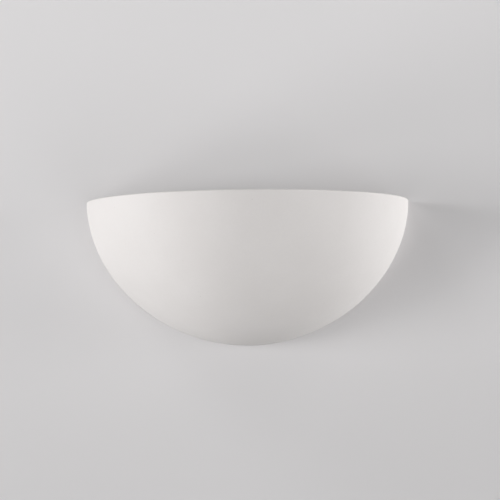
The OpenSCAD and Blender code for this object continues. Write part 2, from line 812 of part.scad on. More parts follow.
// Ceramic disc between cap and skirt, which carries every live part
module holder_core() color("#f7f5ef") on_lamp_axis() difference() {
    translate([0, 0, core_back]) cylinder(r = core_r, h = core_t);
    for (side = [-1, 1])
        translate([side * post_off, 0, core_back - past]) cylinder(r = stem_r + fit, h = core_t + 2 * past);
    translate([-post_off - leaf_tail - pocket_gap, -leaf_half_w - fit, core_front - strip_t])
        cube([post_off + leaf_tail + pocket_gap - leaf_foot_x + leaf_rise / 2 + pocket_gap,
            2 * (leaf_half_w + fit), strip_t + past]);
    translate([post_off - strap_tail - pocket_gap / 2, -strap_half_w - fit, core_front - strip_t])
        cube([strap_end_x - post_off + strap_tail + pocket_gap, 2 * (strap_half_w + fit), strip_t + past]);
}

// Front sleeve of the lampholder, with the step that holds the core against the cap
module holder_skirt() color("#f2f0ea") on_lamp_axis() rotate_extrude() polygon([
    [skirt_bore_r, holder_cap_l], [holder_r, holder_cap_l],
    [holder_r, skirt_front - 1.5 * skirt_chamfer], [holder_r - skirt_chamfer, skirt_front],
    [spigot_r, skirt_front], [spigot_r, core_front + skirt_step_t + skirt_chamfer],
    [skirt_step_r, core_front + skirt_step_t], [skirt_step_r, core_front], [skirt_bore_r, core_front]
]);

module screw_shell() color("#c9a95c") on_lamp_axis()
    threaded_sleeve(
        core_front, core_front + shell_l,
        thread_r + thread_gap + shell_t, thread_rise, thread_r + thread_gap, thread_rise
    );

// Sprung strip from the live post up to the lamp's contact
module centre_leaf() color("#c9a95c") on_lamp_axis()
    translate([0, leaf_half_w, 0]) rotate([90, 0, 0]) linear_extrude(2 * leaf_half_w) polygon([
        [-post_off - leaf_tail, core_front - strip_t], [-leaf_foot_x, core_front - strip_t],
        [-leaf_top_x, core_front + leaf_rise], [leaf_half_w, core_front + leaf_rise],
        [leaf_half_w, core_front + leaf_rise + strip_t],
        [-leaf_top_x - leaf_slant, core_front + leaf_rise + strip_t],
        [-leaf_foot_x - leaf_slant, core_front], [-post_off - leaf_tail, core_front]
    ]);

// Strip from the neutral post out to the screw shell's foot
module side_strap() color("#c9a95c") on_lamp_axis()
    translate([post_off - strap_tail, -strap_half_w, core_front - strip_t])
        cube([strap_end_x - post_off + strap_tail, 2 * strap_half_w, strip_t]);

// Two brass posts behind the core, each with a stem through it
module holder_terminals() color("#c2a154") on_lamp_axis()
    for (side = [-1, 1]) difference() {
        union() {
            translate([side * post_off - post_half_w, -post_half_w, core_back - post_l])
                cube([2 * post_half_w, 2 * post_half_w, post_l]);
            translate([side * post_off, 0, core_back - past])
                cylinder(r = stem_r, h = core_t - strip_t + past);
        }
        translate([side * post_off, 0, core_back - post_l - past])
            cylinder(r = post_bore_r, h = post_l + past - 0.8);
        translate([side * post_off, 0, core_back - post_l / 2]) rotate([0, side * 90, 0])
            cylinder(r = m25_r + fit, h = post_half_w + past);
    }

module holder_terminal_screws() color("#b9bcbe") on_lamp_axis()
    for (side = [-1, 1])
        translate([side * (post_off + post_half_w), 0, core_back - post_l / 2])
            rotate([0, side * 90, 0])
                slotted_screw(m25_r, post_half_w - pin_r - tip_gap, m25_head_r, m25_head_h);

module lamp_contact() color("#c0c2c3") on_lamp_axis()
    translate([0, 0, contact_at]) cylinder(r1 = contact_r - 1, r2 = contact_r, h = contact_t);

// Black ring between the contact and the threaded cap, with a plug that centres the cap
module cap_insulator() color("#222222") on_lamp_axis() {
    translate([0, 0, insulator_at])
        cylinder(r1 = contact_r + 1, r2 = cap_bore_r + 0.6, h = insulator_t);
    translate([0, 0, cap_at - fit]) cylinder(r = cap_plug_r, h = 1.5 + fit);
}

module lamp_cap() color("#c4c6c8") on_lamp_axis()
    threaded_sleeve(cap_at, cap_at + cap_l, thread_r, thread_rise, cap_bore_r, 0);

// Outer radius of the lamp's housing at a distance along the axis
function housing_r(w) =
    neck_r + (globe_seat_r - neck_r) * (1 - cos(180 * (w - housing_at) / housing_l)) / 2;

module lamp_housing() color("#f4f4f2") on_lamp_axis() {
    steps = 20;
    step_at = board_front - board_t;
    floor_at = housing_at + neck_wall + 0.5;
    outer = [
        for (i = [0:steps])
            let (w = housing_at + housing_l * i / steps)
                [housing_r(w), w]
    ];
    inner = [
        for (i = [0:steps])
            let (w = floor_at + (step_at - floor_at) * i / steps)
                [min(housing_r(w) - envelope_t, board_r - board_seat), w]
    ];
    rotate_extrude() polygon(concat(
        [[cap_plug_r - neck_wall, housing_at - neck_plug_l], [cap_plug_r, housing_at - neck_plug_l],
            [cap_plug_r, housing_at]],
        outer,
        [[board_r + fit, globe_at], [board_r + fit, step_at]],
        reversed(inner),
        [[cap_plug_r - neck_wall, floor_at]]
    ));
}

// Opal globe: a shallow flare up to its full width, then half a sphere
module lamp_envelope() color("#fbfbf8") on_lamp_axis() {
    steps = 12;
    flare_l = globe_centre - globe_at;
    outer = [
        for (i = [0:steps - 1])
            [globe_seat_r + (globe_r - globe_seat_r) * sin(90 * i / steps), globe_at + flare_l * i / steps]
    ];
    dome = [for (i = [0:24]) let (a = 90 * i / 24) [globe_r * cos(a), globe_centre + globe_r * sin(a)]];
    thin_r = globe_r - envelope_t;
    thin_dome = [for (i = [0:24]) let (a = 90 * i / 24) [thin_r * cos(a), globe_centre + thin_r * sin(a)]];
    thin_flare = [for (p = outer) [p[0] - envelope_t, p[1]]];
    rotate_extrude() polygon(concat(outer, dome, reversed(thin_dome), reversed(thin_flare)));
}

module led_board() color("#d9dbdc") on_lamp_axis()
    translate([0, 0, board_front - board_t]) cylinder(r = board_r, h = board_t);

module led_chips() color("#f1d46b") on_lamp_axis()
    for (i = [0:chip_count - 1])
        rotate([0, 0, 360 * i / chip_count])
            translate([chip_ring_r - chip_size[0] / 2, -chip_size[1] / 2, board_front]) cube(chip_size);

// Card with the lamp's electronics, standing behind the board with its parts on one face
module driver_board() color("#2f7d4f") on_lamp_axis() {
    top = board_front - board_t;
    translate([-driver_t / 2, -driver_half_w, driver_at])
        cube([driver_t, 2 * driver_half_w, top - driver_at]);
    translate([driver_t / 2 - fit, -coil_size[1] + coil_at - 1, driver_at + coil_at]) cube(coil_size);
    translate([0, coil_at, top - capacitor_back]) rotate([0, 90, 0])
        cylinder(r = capacitor_r, h = capacitor_l);
}

// Insulating body of the terminal block, bored for three inserts and their screws
module terminal_body() color("#f3f1ec") difference() {
    translate([block_x - block_w / 2, -plate_t - block_depth, -block_h / 2])
        cube([block_w, block_depth, block_h]);
    for (i = poles) {
        translate([block_x + i * pole_pitch, pole_y, -block_h / 2 - past])
            cylinder(r = pole_r + fit, h = block_h + 2 * past);
        for (side = [-1, 1])
            facing_forward(block_x + i * pole_pitch, pole_y, side * pole_screw_z)
                cylinder(r = m3_r + loose, h = block_depth);
    }
    facing_forward(block_fix_x, 0, 0) cylinder(r = m25_r + fit, h = plate_t + block_depth + past);
    facing_forward(block_fix_x, -plate_t - block_fix_depth, 0)
        cylinder(r = m25_head_r + fit, h = block_depth);
}

module terminal_inserts() color("#c2a154")
    for (i = poles) difference() {
        translate([block_x + i * pole_pitch, pole_y, -pole_l / 2]) cylinder(r = pole_r, h = pole_l);
        translate([block_x + i * pole_pitch, pole_y, -pole_l / 2 - past])
            cylinder(r = pole_bore_r, h = pole_l + 2 * past);
        for (side = [-1, 1])
            facing_forward(block_x + i * pole_pitch, pole_y, side * pole_screw_z)
                cylinder(r = m3_r + fit, h = block_depth);
    }

// Six screws that press the conductors in the inserts
module terminal_screws() color("#b9bcbe")
    for (i = poles) for (side = [-1, 1])
        facing_forward(block_x + i * pole_pitch, pole_y - pole_screw_at, side * pole_screw_z)
            grub_screw(m3_r, pole_screw_l);

module terminal_fixing_screw() color("#b9bcbe")
    facing_forward(block_fix_x, -plate_t - block_fix_depth, 0)
        slotted_screw(m25_r, plate_t + block_fix_depth - tip_gap, m25_head_r, m25_head_h);

// Stud pressed into the plate from behind
module earth_stud() color("#c2a154") {
    facing_forward(stud_x, -tip_gap, -stud_down) cylinder(r = stud_r + 0.5, h = plate_t - tip_gap);
    facing_forward(stud_x, -plate_t + past / 2, -stud_down) cylinder(r = stud_r, h = stud_l + past / 2);
}

// Ring lug with the barrel that is crimped on the earth wire
module earth_ring() color("#c8cacb") difference() {
    union() {
        facing_forward(stud_x, -plate_t, -stud_down) cylinder(r = ring_r, h = ring_t);
        translate([stud_x - tongue_half_w, -plate_t - ring_t, -stud_down + stud_r + tongue_gap])
            cube([2 * tongue_half_w, ring_t, barrel_from - stud_r + past]);
        translate([stud_x, barrel_y, -stud_down + barrel_from]) cylinder(r = barrel_r, h = barrel_l);
    }
    facing_forward(stud_x, past, -stud_down) cylinder(r = stud_r + fit, h = plate_t + ring_t + 2 * past);
    translate([stud_x, barrel_y, -stud_down + barrel_from - past])
        cylinder(r = wire_r + fit, h = barrel_l + 2 * past);
}

module earth_washer() color("#c8cacb")
    facing_forward(stud_x, -plate_t - ring_t, -stud_down)
        ring(earth_washer_r, stud_r + fit, earth_washer_t);

module earth_nut() color("#c2a154")
    facing_forward(stud_x, -plate_t - ring_t - earth_washer_t, -stud_down) difference() {
        cylinder(r = earth_nut_r, h = earth_nut_t, $fn = 6);
        translate([0, 0, -past]) cylinder(r = stud_r + fit, h = earth_nut_t + 2 * past);
    }

module live_wire() color("#7a4a2b") tube(live_route, wire_r, 2);

module neutral_wire() color("#2e5fa8") tube(neutral_route, wire_r, 2);

module earth_wire() color("#6f9e3a") tube(earth_route, wire_r, 2);

// Ferrules on the wires' ends: three at the terminal block and two at the lampholder
module wire_ferrules() color("#d7d8d9") {
    for (i = poles) translate([block_x + i * pole_pitch, pole_y, block_h / 2]) ferrule(pole_pin_l);
    on_lamp_axis() for (side = [-1, 1])
        translate([side * post_off, 0, core_back - post_l]) rotate([180, 0, 0]) ferrule(post_pin_l);
}

// Nylon clip that snaps into the plate and holds the two lamp wires
module wire_clip() color("#f3f1ec") difference() {
    union() {
        translate([clip_x - clip_l / 2, -plate_t - clip_depth, clip_bottom])
            cube([clip_l, clip_depth, clip_top - clip_bottom]);
        facing_forward(clip_x, -tip_gap, (clip_top + clip_bottom) / 2)
            cylinder(r = clip_stud_r, h = plate_t);
    }
    for (z = [wire_low_z, wire_high_z])
        translate([clip_x - clip_l, wire_run_y, z]) rotate([0, 90, 0])
            cylinder(r = wire_r + fit, h = 2 * clip_l);
}

plaster_bowl();
plate_inserts();
hanger_plate(1);  // hanger_plate_left
hanger_plate(0);  // hanger_plate_right
plate_screws();
thumb_washers();
thumbscrew(1);  // thumbscrew_left
thumbscrew(0);  // thumbscrew_right
nut_plate(1);  // nut_plate_left
nut_plate(0);  // nut_plate_right
wall_bracket();
entry_grommet();
holder_arm();
arm_screws();
arm_grommet();
nipple();
nipple_locknut();
holder_cap();
holder_core();
holder_skirt();
screw_shell();
centre_leaf();
side_strap();
holder_terminals();
holder_terminal_screws();
lamp_contact();
cap_insulator();
lamp_cap();
lamp_housing();
lamp_envelope();
led_board();
led_chips();
driver_board();
terminal_body();
terminal_inserts();
terminal_screws();
terminal_fixing_screw();
earth_stud();
earth_ring();
earth_washer();
earth_nut();
live_wire();
neutral_wire();
earth_wire();
wire_ferrules();
wire_clip();
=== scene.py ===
"""Half-bowl wall uplighter: a cast bowl on a steel bracket, with its lampholder, lamp and wires.
Metres, with the origin on the wall at the middle of the fixing slots, the front towards -Y."""
import math
import bmesh
import bpy
from mathutils import Matrix, Vector, noise


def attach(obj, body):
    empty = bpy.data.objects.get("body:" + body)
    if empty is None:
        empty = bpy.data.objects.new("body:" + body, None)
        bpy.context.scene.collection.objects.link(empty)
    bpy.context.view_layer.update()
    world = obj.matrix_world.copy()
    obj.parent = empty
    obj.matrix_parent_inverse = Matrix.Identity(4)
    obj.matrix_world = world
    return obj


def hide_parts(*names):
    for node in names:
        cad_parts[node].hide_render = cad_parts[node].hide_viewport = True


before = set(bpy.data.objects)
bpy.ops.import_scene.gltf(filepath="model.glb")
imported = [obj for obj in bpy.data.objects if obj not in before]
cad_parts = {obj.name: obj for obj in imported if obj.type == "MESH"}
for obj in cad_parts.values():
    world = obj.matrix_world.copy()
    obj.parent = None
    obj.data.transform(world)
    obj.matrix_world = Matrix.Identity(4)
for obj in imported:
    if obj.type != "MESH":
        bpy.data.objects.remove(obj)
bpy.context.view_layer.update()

# ---------------------------------------------------------------------------------------------
# Camera. It stands 1.2 m in front of the wall, below the rim, and looks up by two degrees.
camera_place = (0.00024, -1.2, -0.0305)
yaw, pitch, roll = (math.radians(a) for a in (-0.083, 2.144, -0.588))
heading = (Matrix.Rotation(yaw, 3, "Z") @ Matrix.Rotation(math.pi / 2 + pitch, 3, "X")
           @ Matrix.Rotation(roll, 3, "Z"))
bpy.ops.object.camera_add(location=camera_place, rotation=heading.to_euler())
camera = bpy.context.object
camera.data.sensor_width = 36
camera.data.lens = 86.3
bpy.context.scene.camera = camera
bpy.context.scene.view_settings.view_transform = "Standard"


# ---------------------------------------------------------------------------------------------
# Stage. A pale painted wall stands behind the bowl and a pale floor lies far below it. Each is
# seen from its front only, so that the object can be looked at from behind and from below.
class Signal:
    """A socket of a material, with the sums that are done on it."""

    def __init__(self, look, socket):
        self.look, self.socket = look, socket

    def sum_with(self, operation, a, b):
        return self.look.add("ShaderNodeMath", {"operation": operation}, {0: a, 1: b})

    def __add__(self, other):
        return self.sum_with("ADD", self, other)

    def __radd__(self, other):
        return self.sum_with("ADD", other, self)

    def __sub__(self, other):
        return self.sum_with("SUBTRACT", self, other)

    def __rsub__(self, other):
        return self.sum_with("SUBTRACT", other, self)

    def __mul__(self, other):
        return self.sum_with("MULTIPLY", self, other)

    def __rmul__(self, other):
        return self.sum_with("MULTIPLY", other, self)


class Look:
    """The nodes of one material, or of the world."""

    def __init__(self, name, owner=None):
        self.block = owner or bpy.data.materials.new(name)
        self.block.use_nodes = True
        self.tree = self.block.node_tree
        self.shader = self.tree.nodes.get("Principled BSDF")

    def add(self, kind, settings=None, sockets=None, output=0):
        node = self.tree.nodes.new(kind)
        for key, value in (settings or {}).items():
            if key == "stops":
                ramp = node.color_ramp.elements
                while len(ramp) < len(value):
                    ramp.new(0.5)
                for stop, (position, colour) in zip(ramp, value):
                    stop.position, stop.color = position, (*colour, 1)
            else:
                setattr(node, key, value)
        for key, value in (sockets or {}).items():
            self.put(node.inputs[key], value)
        return Signal(self, node.outputs[output])

    def put(self, socket, value):
        if isinstance(value, Signal):
            self.tree.links.new(value.socket, socket)
        else:
            socket.default_value = (*value, 1) if socket.type == "RGBA" else value

    def set(self, **values):
        """Sets or links the shader's own sockets, such as base_color or roughness."""
        for key, value in values.items():
            self.put(self.shader.inputs[key.replace("_", " ").title().replace("Ior", "IOR")], value)
        return self

    def place(self, scale=(1, 1, 1), shift=(0, 0, 0)):
        spot = self.add("ShaderNodeTexCoord", output="Object")
        return self.add("ShaderNodeMapping", {}, {"Vector": spot, "Location": shift, "Scale": scale})

    def speckle(self, scale, detail=2.0, rough=0.5, place=None):
        return self.add("ShaderNodeTexNoise", {}, {
            "Vector": place or self.place(), "Scale": scale, "Detail": detail, "Roughness": rough})

    def between(self, value, low, high):
        """0 below low, 1 above high and smooth between them."""
        return self.add("ShaderNodeMapRange", {"interpolation_type": "SMOOTHSTEP"}, {
            "Value": value, "From Min": low, "From Max": high})

    def tint(self, mask, a, b):
        return self.add("ShaderNodeMix", {"data_type": "RGBA"}, {0: mask, 6: a, 7: b}, 2)

    def relief(self, height, distance, strength=1.0, over=None):
        sockets = {"Height": height, "Distance": distance, "Strength": strength}
        if over:
            sockets["Normal"] = over
        return self.add("ShaderNodeBump", {}, sockets)


def one_sided(look):
    """Lets a stage surface vanish when it is seen from behind."""
    back = look.add("ShaderNodeNewGeometry", output="Backfacing")
    clear = look.add("ShaderNodeBsdfTransparent")
    solid = Signal(look, look.shader.outputs[0])
    shown = look.add("ShaderNodeMixShader", {}, {0: back, 1: solid, 2: clear})
    look.tree.links.new(shown.socket, look.tree.nodes["Material Output"].inputs["Surface"])


def backdrop(name, size, place, tilt, colour, shift=(0, 0, 0), light_slope=(0, 0, 0)):
    """A large flat sheet. Slope is painted light: how much lighter its colour is made with each metre
    along it, standing in for the way the lamps' light falls off across it.
    """
    bpy.ops.mesh.primitive_plane_add(size=size, location=place, rotation=(tilt, 0, 0))
    sheet = bpy.context.object
    sheet.name = name
    look = Look(name)
    light_slant = look.add("ShaderNodeVectorMath", {"operation": "DOT_PRODUCT"},
                     {0: look.place(shift=shift), 1: light_slope}, "Value")
    # Painted light: the colour is made lighter along the slope, as the lamps' fall-off would make it look,
    # with faint random patches of paint on top.
    painted_light_and_patches = light_slant + 0.03 * (look.speckle(3, 3) - 0.5)
    shade = look.add("ShaderNodeMapRange", {}, {"Value": painted_light_and_patches, "From Min": -0.1, "From Max": 0.1})
    look.set(base_color=look.tint(shade, [0.9 * c for c in colour], [1.1 * c for c in colour]),
             roughness=0.9, specular_ior_level=0.1)
    one_sided(look)
    sheet.data.materials.append(look.block)
    sheet.visible_diffuse = sheet.visible_glossy = sheet.visible_shadow = False


stage_size, wall_gap, wall_up, floor_z = 9, 0.0004, 1.5, -1.6
# The wall's colour is painted lighter upwards and a little to the right: painted light standing in for the
# lamps' fall-off.
wall_colour, wall_light_slope = (0.794, 0.780, 0.785), (0.076, 0.315, 0)
backdrop("studio_wall", stage_size, (0, wall_gap, wall_up), math.pi / 2, wall_colour,
         (0, wall_up, 0), wall_light_slope)
backdrop("studio_floor", stage_size, (0, -stage_size / 2, floor_z), 0, wall_colour)

# Round soft lights, each given by its direction from the bowl, in degrees, and its power
lights = ((-80, -25, 51.1), (-60, -25, 10.9), (40, -25, 9.3), (-60, 0, 69.4), (-40, 0, 12.7),
          (20, 0, 19.3), (88, 0, 136.6), (-60, 50, 22.4), (60, 50, 8.5))
light_target = Vector((0, -0.08, -0.01))
light_reach, light_size = 4.2, 1.7
for azimuth, elevation, power in lights:
    a, e = math.radians(azimuth), math.radians(elevation)
    away = Vector((math.sin(a) * math.cos(e), -math.cos(a) * math.cos(e), math.sin(e)))
    bpy.ops.object.light_add(type="AREA", location=light_target + away * light_reach,
                             rotation=away.to_track_quat("Z", "Y").to_euler())
    light = bpy.context.object
    light.visible_camera = False
    light.data.shape, light.data.size, light.data.energy = "DISK", light_size, power

# The world lights everything a little, and looks brighter than that to the camera and in metal
ambient, extra_seen = 0.22, 0.6
world = bpy.data.worlds.new("studio")
bpy.context.scene.world = world
sky = Look("studio", world)
rays = "ShaderNodeLightPath"
seen = sum(sky.add(rays, output=f"Is {kind} Ray") for kind in ("Camera", "Glossy", "Transmission"))
background = sky.tree.nodes["Background"]
sky.put(background.inputs["Color"], (1, 1, 1))
sky.put(background.inputs["Strength"], ambient + extra_seen * seen)


# ---------------------------------------------------------------------------------------------
# The bowl. It is cast in fine plaster, 9 mm thick, rubbed down by hand on the outside and left
# as it came from the mould inside. Two cast bosses hold threaded inserts for its hanger plates.
mm = 0.001
rim_z = 62.0048


def clear(active=None):
    """Leaves edit mode and deselects everything but the piece to work on."""
    if bpy.context.object and bpy.context.object.mode != "OBJECT":
        bpy.ops.object.mode_set(mode="OBJECT")
    bpy.ops.object.select_all(action="DESELECT")
    if active:
        bpy.context.view_layer.objects.active = active
        active.select_set(True)
    return active


def outward(piece):
    """Turns the faces of a closed piece outwards."""
    clear(piece)
    bpy.ops.object.mode_set(mode="EDIT")
    bpy.ops.mesh.select_all(action="SELECT")
    bpy.ops.mesh.normals_make_consistent(inside=False)
    bpy.ops.object.mode_set(mode="OBJECT")
    return piece


def drawn(name, points):
    """A chain of edges through points, left in edit mode with all of it selected."""
    clear()
    bpy.ops.mesh.primitive_plane_add(size=mm)
    piece = bpy.context.object
    piece.name = name
    bpy.ops.object.mode_set(mode="EDIT")
    bpy.ops.mesh.merge(type="CENTER")
    bpy.ops.transform.translate(value=Vector(points[0]) * mm)
    for a, b in zip(points, points[1:]):
        bpy.ops.mesh.extrude_region_move(
            TRANSFORM_OT_translate={"value": (Vector(b) - Vector(a)) * mm})
    bpy.ops.mesh.select_all(action="SELECT")
    bpy.ops.mesh.remove_doubles(threshold=0.001 * mm)
    return piece


def put(piece, matrix):
    """Moves a piece and writes its new place into its mesh."""
    clear(piece)
    piece.matrix_world = matrix
    bpy.ops.object.transform_apply(location=True, rotation=True, scale=True)
    return outward(piece) if matrix.determinant() < 0 else piece


def turned(name, profile, steps=72, angle=math.tau):
    """Spins a profile of (radius, height) pairs round the upright axis."""
    piece = drawn(name, [(r, 0, h) for r, h in profile])
    if angle < math.tau:
        bpy.ops.mesh.edge_face_add()
    bpy.ops.mesh.spin(steps=steps, angle=angle, center=(0, 0, 0), axis=(0, 0, 1))
    bpy.ops.mesh.select_all(action="SELECT")
    bpy.ops.mesh.remove_doubles(threshold=0.004 * mm)
    bpy.ops.mesh.dissolve_degenerate(threshold=0.001 * mm)
    bpy.ops.mesh.normals_make_consistent(inside=False)
    bpy.ops.object.mode_set(mode="OBJECT")
    return piece


def arc(centre, radius, start, turn, steps=6):
    """Points of an arc, with angles in degrees."""
    angles = [math.radians(start + turn * i / steps) for i in range(steps + 1)]
    return [(centre[0] + radius * math.cos(a), centre[1] + radius * math.sin(a)) for a in angles]


def changed(piece, kind, **settings):
    """Adds a modifier and applies it."""
    clear(piece)
    modifier = piece.modifiers.new(kind.title(), kind)
    for key, value in settings.items():
        setattr(modifier, key, value)
    bpy.ops.object.modifier_apply(modifier=modifier.name)
    return piece


def joined(name, pieces):
    clear(pieces[0])
    for piece in pieces:
        piece.select_set(True)
    bpy.ops.object.join()
    pieces[0].name = name
    return pieces[0]


def combined(piece, others, operation="DIFFERENCE"):
    """Cuts other closed shapes out of a piece, or adds them to it."""
    tool = joined("tool", others)
    changed(piece, "BOOLEAN", operation=operation, object=tool, solver="EXACT", use_self=True)
    bpy.data.objects.remove(tool)
    return piece


def bevelled(piece, offset, test, segments=6):
    """Rounds the edges whose two ends pass a test, which is given their places in millimetres."""
    clear(piece)
    bpy.ops.object.mode_set(mode="EDIT")
    bpy.ops.mesh.select_mode(type="EDGE")
    bpy.ops.mesh.select_all(action="DESELECT")
    bpy.ops.object.mode_set(mode="OBJECT")
    places = [v.co / mm for v in piece.data.vertices]
    for edge in piece.data.edges:
        edge.select = test(*(places[i] for i in edge.vertices))
    bpy.ops.object.mode_set(mode="EDIT")
    bpy.ops.mesh.bevel(offset=offset * mm, segments=segments, affect="EDGES")
    bpy.ops.mesh.select_mode(type="VERT")
    bpy.ops.object.mode_set(mode="OBJECT")
    return piece


def rounded(piece, width, segments=2, angle=40):
    """Breaks the sharp edges of a piece, then shades it smooth between the rest."""
    if width:
        changed(piece, "BEVEL", width=width * mm, segments=segments, limit_method="ANGLE",
                angle_limit=math.radians(angle), use_clamp_overlap=True, miter_outer="MITER_ARC")
    clear(piece)
    bpy.ops.object.shade_smooth_by_angle(angle=math.radians(angle - 8))
    return piece


def block(name, low, high, corner=0, along=None):
    """A box between two corners, with its edges along one axis rounded where asked."""
    clear()
    bpy.ops.mesh.primitive_cube_add(size=1)
    piece = bpy.context.object
    piece.name = name
    size = [b - a for a, b in zip(low, high)]
    middle = [(a + b) / 2 for a, b in zip(low, high)]
    put(piece, Matrix.Translation(Vector(middle) * mm) @ Matrix.Diagonal((*[s * mm for s in size], 1)))
    if corner:
        bevelled(piece, corner, lambda a, b: abs((a - b)[along]) > 0.9 * size[along], 8)
    return piece


def drill(centre, radius, length, along=2, sides=40):
    """A cylinder for boring a hole, centred on a point and lying along one axis."""
    clear()
    turn = ((0, math.pi / 2, 0), (math.pi / 2, 0, 0), (0, 0, 0))[along]
    bpy.ops.mesh.primitive_cylinder_add(vertices=sides, radius=radius * mm, depth=length * mm,
                                        location=Vector(centre) * mm, rotation=turn)
    return bpy.context.object


def dressed(piece, look, slot, body, *nodes):
    """Gives a finished piece its material and the body it moves with, and hides the CAD nodes it takes the
    place of.
    Its slot is not used. Weighted normals keep its flat faces flat to the light beside their rounded
    edges."""
    changed(piece, "WEIGHTED_NORMAL", keep_sharp=True)
    piece.data.materials.clear()
    piece.data.materials.append(look.block)
    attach(piece, body)
    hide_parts(*nodes)
    return piece


def bowl_curve(radius, height, power, steps):
    """Half of the bowl's section, from its rim to its lowest point."""
    points = []
    for i in range(steps + 1):
        depth = min(height * math.sin(math.pi / 2 * i / steps) ** (2 / power), height)
        points.append((radius * max(0.0, 1 - (depth / height) ** power) ** (1 / power), -depth))
    return points


bowl_r, bowl_h, bowl_power, bowl_wall, lip_r = 160, 143, 1.94, 9, 1.5
outer_steps, inner_steps, bowl_sides = 84, 60, 176
outside = bowl_curve(bowl_r, bowl_h, bowl_power, outer_steps)
inside = bowl_curve(bowl_r - bowl_wall, bowl_h - bowl_wall, bowl_power, inner_steps)
outer_lip = arc((bowl_r - lip_r, -lip_r), lip_r, 90, -90)
inner_lip = arc((bowl_r - bowl_wall + lip_r, -lip_r), lip_r, 180, -90)
section = (outer_lip + [p for p in outside if p[1] < -lip_r]
           + [p for p in inside if p[1] < -lip_r][::-1] + inner_lip)
section = [(r, h + rim_z) for r, h in section]
bowl = turned("cast_bowl", section + section[:1], bowl_sides, math.pi)

boss_in, boss_out, boss_low_out, boss_depth, boss_top, boss_bottom = 115.5, 146, 126, 31, 18, -14
bosses = []
for side in (-1, 1):
    boss = block("boss", (boss_in, -boss_depth, boss_bottom), (boss_out, 0, boss_top))
    for v in boss.data.vertices:
        if v.co.x > boss_in * mm + mm and v.co.z < 0:
            v.co.x = boss_low_out * mm
    bevelled(boss, 2, lambda a, b: min(a.x, b.x) < boss_in + 1 and a.y < -1 and b.y < -1)
    bosses.append(put(boss, Matrix.Diagonal((side, 1, 1, 1))))
combined(bowl, bosses, "UNION")

insert_x, insert_back, insert_hole_r, insert_l = 128.63, (9, 23), 2.95, 12
insert_places = [(side * insert_x, -back, boss_top) for side in (-1, 1) for back in insert_back]
combined(bowl, [drill((x, y, z - insert_l / 2), insert_hole_r, insert_l + 1) for x, y, z in insert_places])

# Hand-rubbed unevenness. It only takes plaster away, and fades out at the wall.
unevenness, rim_waves, wall_fade, rim_fade = 0.22 * mm, 0.35 * mm, 4 * mm, 6 * mm
broad, narrow, rim_scale = 22, 55, 30
skin = bmesh.new()
skin.from_mesh(bowl.data)
skin.normal_update()
for v in skin.verts:
    off_wall = min(1.0, max(0.0, -v.co.y / wall_fade))
    swell = noise.noise(v.co * broad) + 0.6 * noise.noise(v.co * narrow)
    v.co -= v.normal * max(0.0, unevenness * (0.5 + 0.4 * swell) * off_wall)
    near_rim = min(1.0, max(0.0, 1 - (rim_z * mm - v.co.z) / rim_fade))
    along = Vector((v.co.x, v.co.y, 0)) * rim_scale
    v.co.z -= rim_waves * near_rim * (0.5 + 0.5 * noise.noise(along))
skin.to_mesh(bowl.data)
skin.free()
rounded(bowl, 0, angle=48)

plaster = Look("cast_plaster")
cloud = plaster.speckle(14, 3, 0.55)
grain = plaster.speckle(420, 4, 0.6)
pores = plaster.add("ShaderNodeTexVoronoi", {}, {"Vector": plaster.place(), "Scale": 190.0})
rare = plaster.between(plaster.speckle(60, 2), 0.58, 0.7)
pit = (1 - plaster.between(pores, 0.04, 0.13)) * rare
# The pits' colour is painted shade: they are darkened as the shade falling in them would look, besides
# their dent in the relief.
plaster_light, plaster_dark, pit_painted_shade = (0.822, 0.794, 0.782), (0.799, 0.770, 0.757), (0.60, 0.57, 0.55)
patches = plaster.between(cloud * 0.7 + grain * 0.3, 0.35, 0.65)
tone = plaster.tint(patches, plaster_dark, plaster_light)
waves = plaster.relief(plaster.speckle(38, 3), 0.5 * mm, 0.5)
fine = plaster.relief(grain, 0.09 * mm, 0.6, waves)
plaster.set(base_color=plaster.tint(pit * 0.5, tone, pit_painted_shade),
            roughness=0.82 + 0.12 * grain, diffuse_roughness=0.2, specular_ior_level=0.25,
            normal=plaster.relief(1 - pit, 0.15 * mm, 0.5, fine))
dressed(bowl, plaster, "cast_bowl", "bowl", "plaster_bowl")


# ---------------------------------------------------------------------------------------------
# Threaded inserts. Four brass sleeves with grooves round them are moulded into the bosses.
fillet_steps = 4


def eased(corners, closed=True):
    """A profile. A corner given as (radius, height, fillet) is rounded."""
    points = []
    for i, corner in enumerate(corners):
        here = Vector(corner[:2])
        if len(corner) < 3:
            points.append(tuple(here))
            continue
        back = Vector(corners[i - 1][:2]) - here
        ahead = Vector(corners[(i + 1) % len(corners)][:2]) - here
        reach = min(corner[2], 0.48 * back.length, 0.48 * ahead.length)
        a, b = here + back.normalized() * reach, here + ahead.normalized() * reach
        for t in (k / fillet_steps for k in range(fillet_steps + 1)):
            points.append(tuple(a * (1 - t) ** 2 + here * 2 * t * (1 - t) + b * t ** 2))
    return points + points[:1] if closed else points


def ridges(outer, root, low, high, pitch):
    """Profile points of a fine screw thread, drawn as rings, from one height to another."""
    count = max(1, int(abs(high - low) / pitch))
    step = (high - low) / count
    return [(r, low + step * (i + f)) for i in range(count) for r, f in ((root, 0.12), (outer, 0.5))]


def twin(piece, name, matrix):
    """A copy of a piece with a mesh of its own, moved to its place."""
    copy = piece.copy()
    copy.data = piece.data.copy()
    copy.name = name
    bpy.context.collection.objects.link(copy)
    return put(copy, matrix)


def copies(piece, matrices):
    """Copies of a piece, one at each place, in its stead."""
    made = [twin(piece, f"{piece.name}_{i + 1}", m) for i, m in enumerate(matrices)]
    bpy.data.objects.remove(piece)
    return made


def at(x, y, z, turn=0, axis="Z"):
    """A place in millimetres with a turn in degrees."""
    return Matrix.Translation(Vector((x, y, z)) * mm) @ Matrix.Rotation(math.radians(turn), 4, axis)


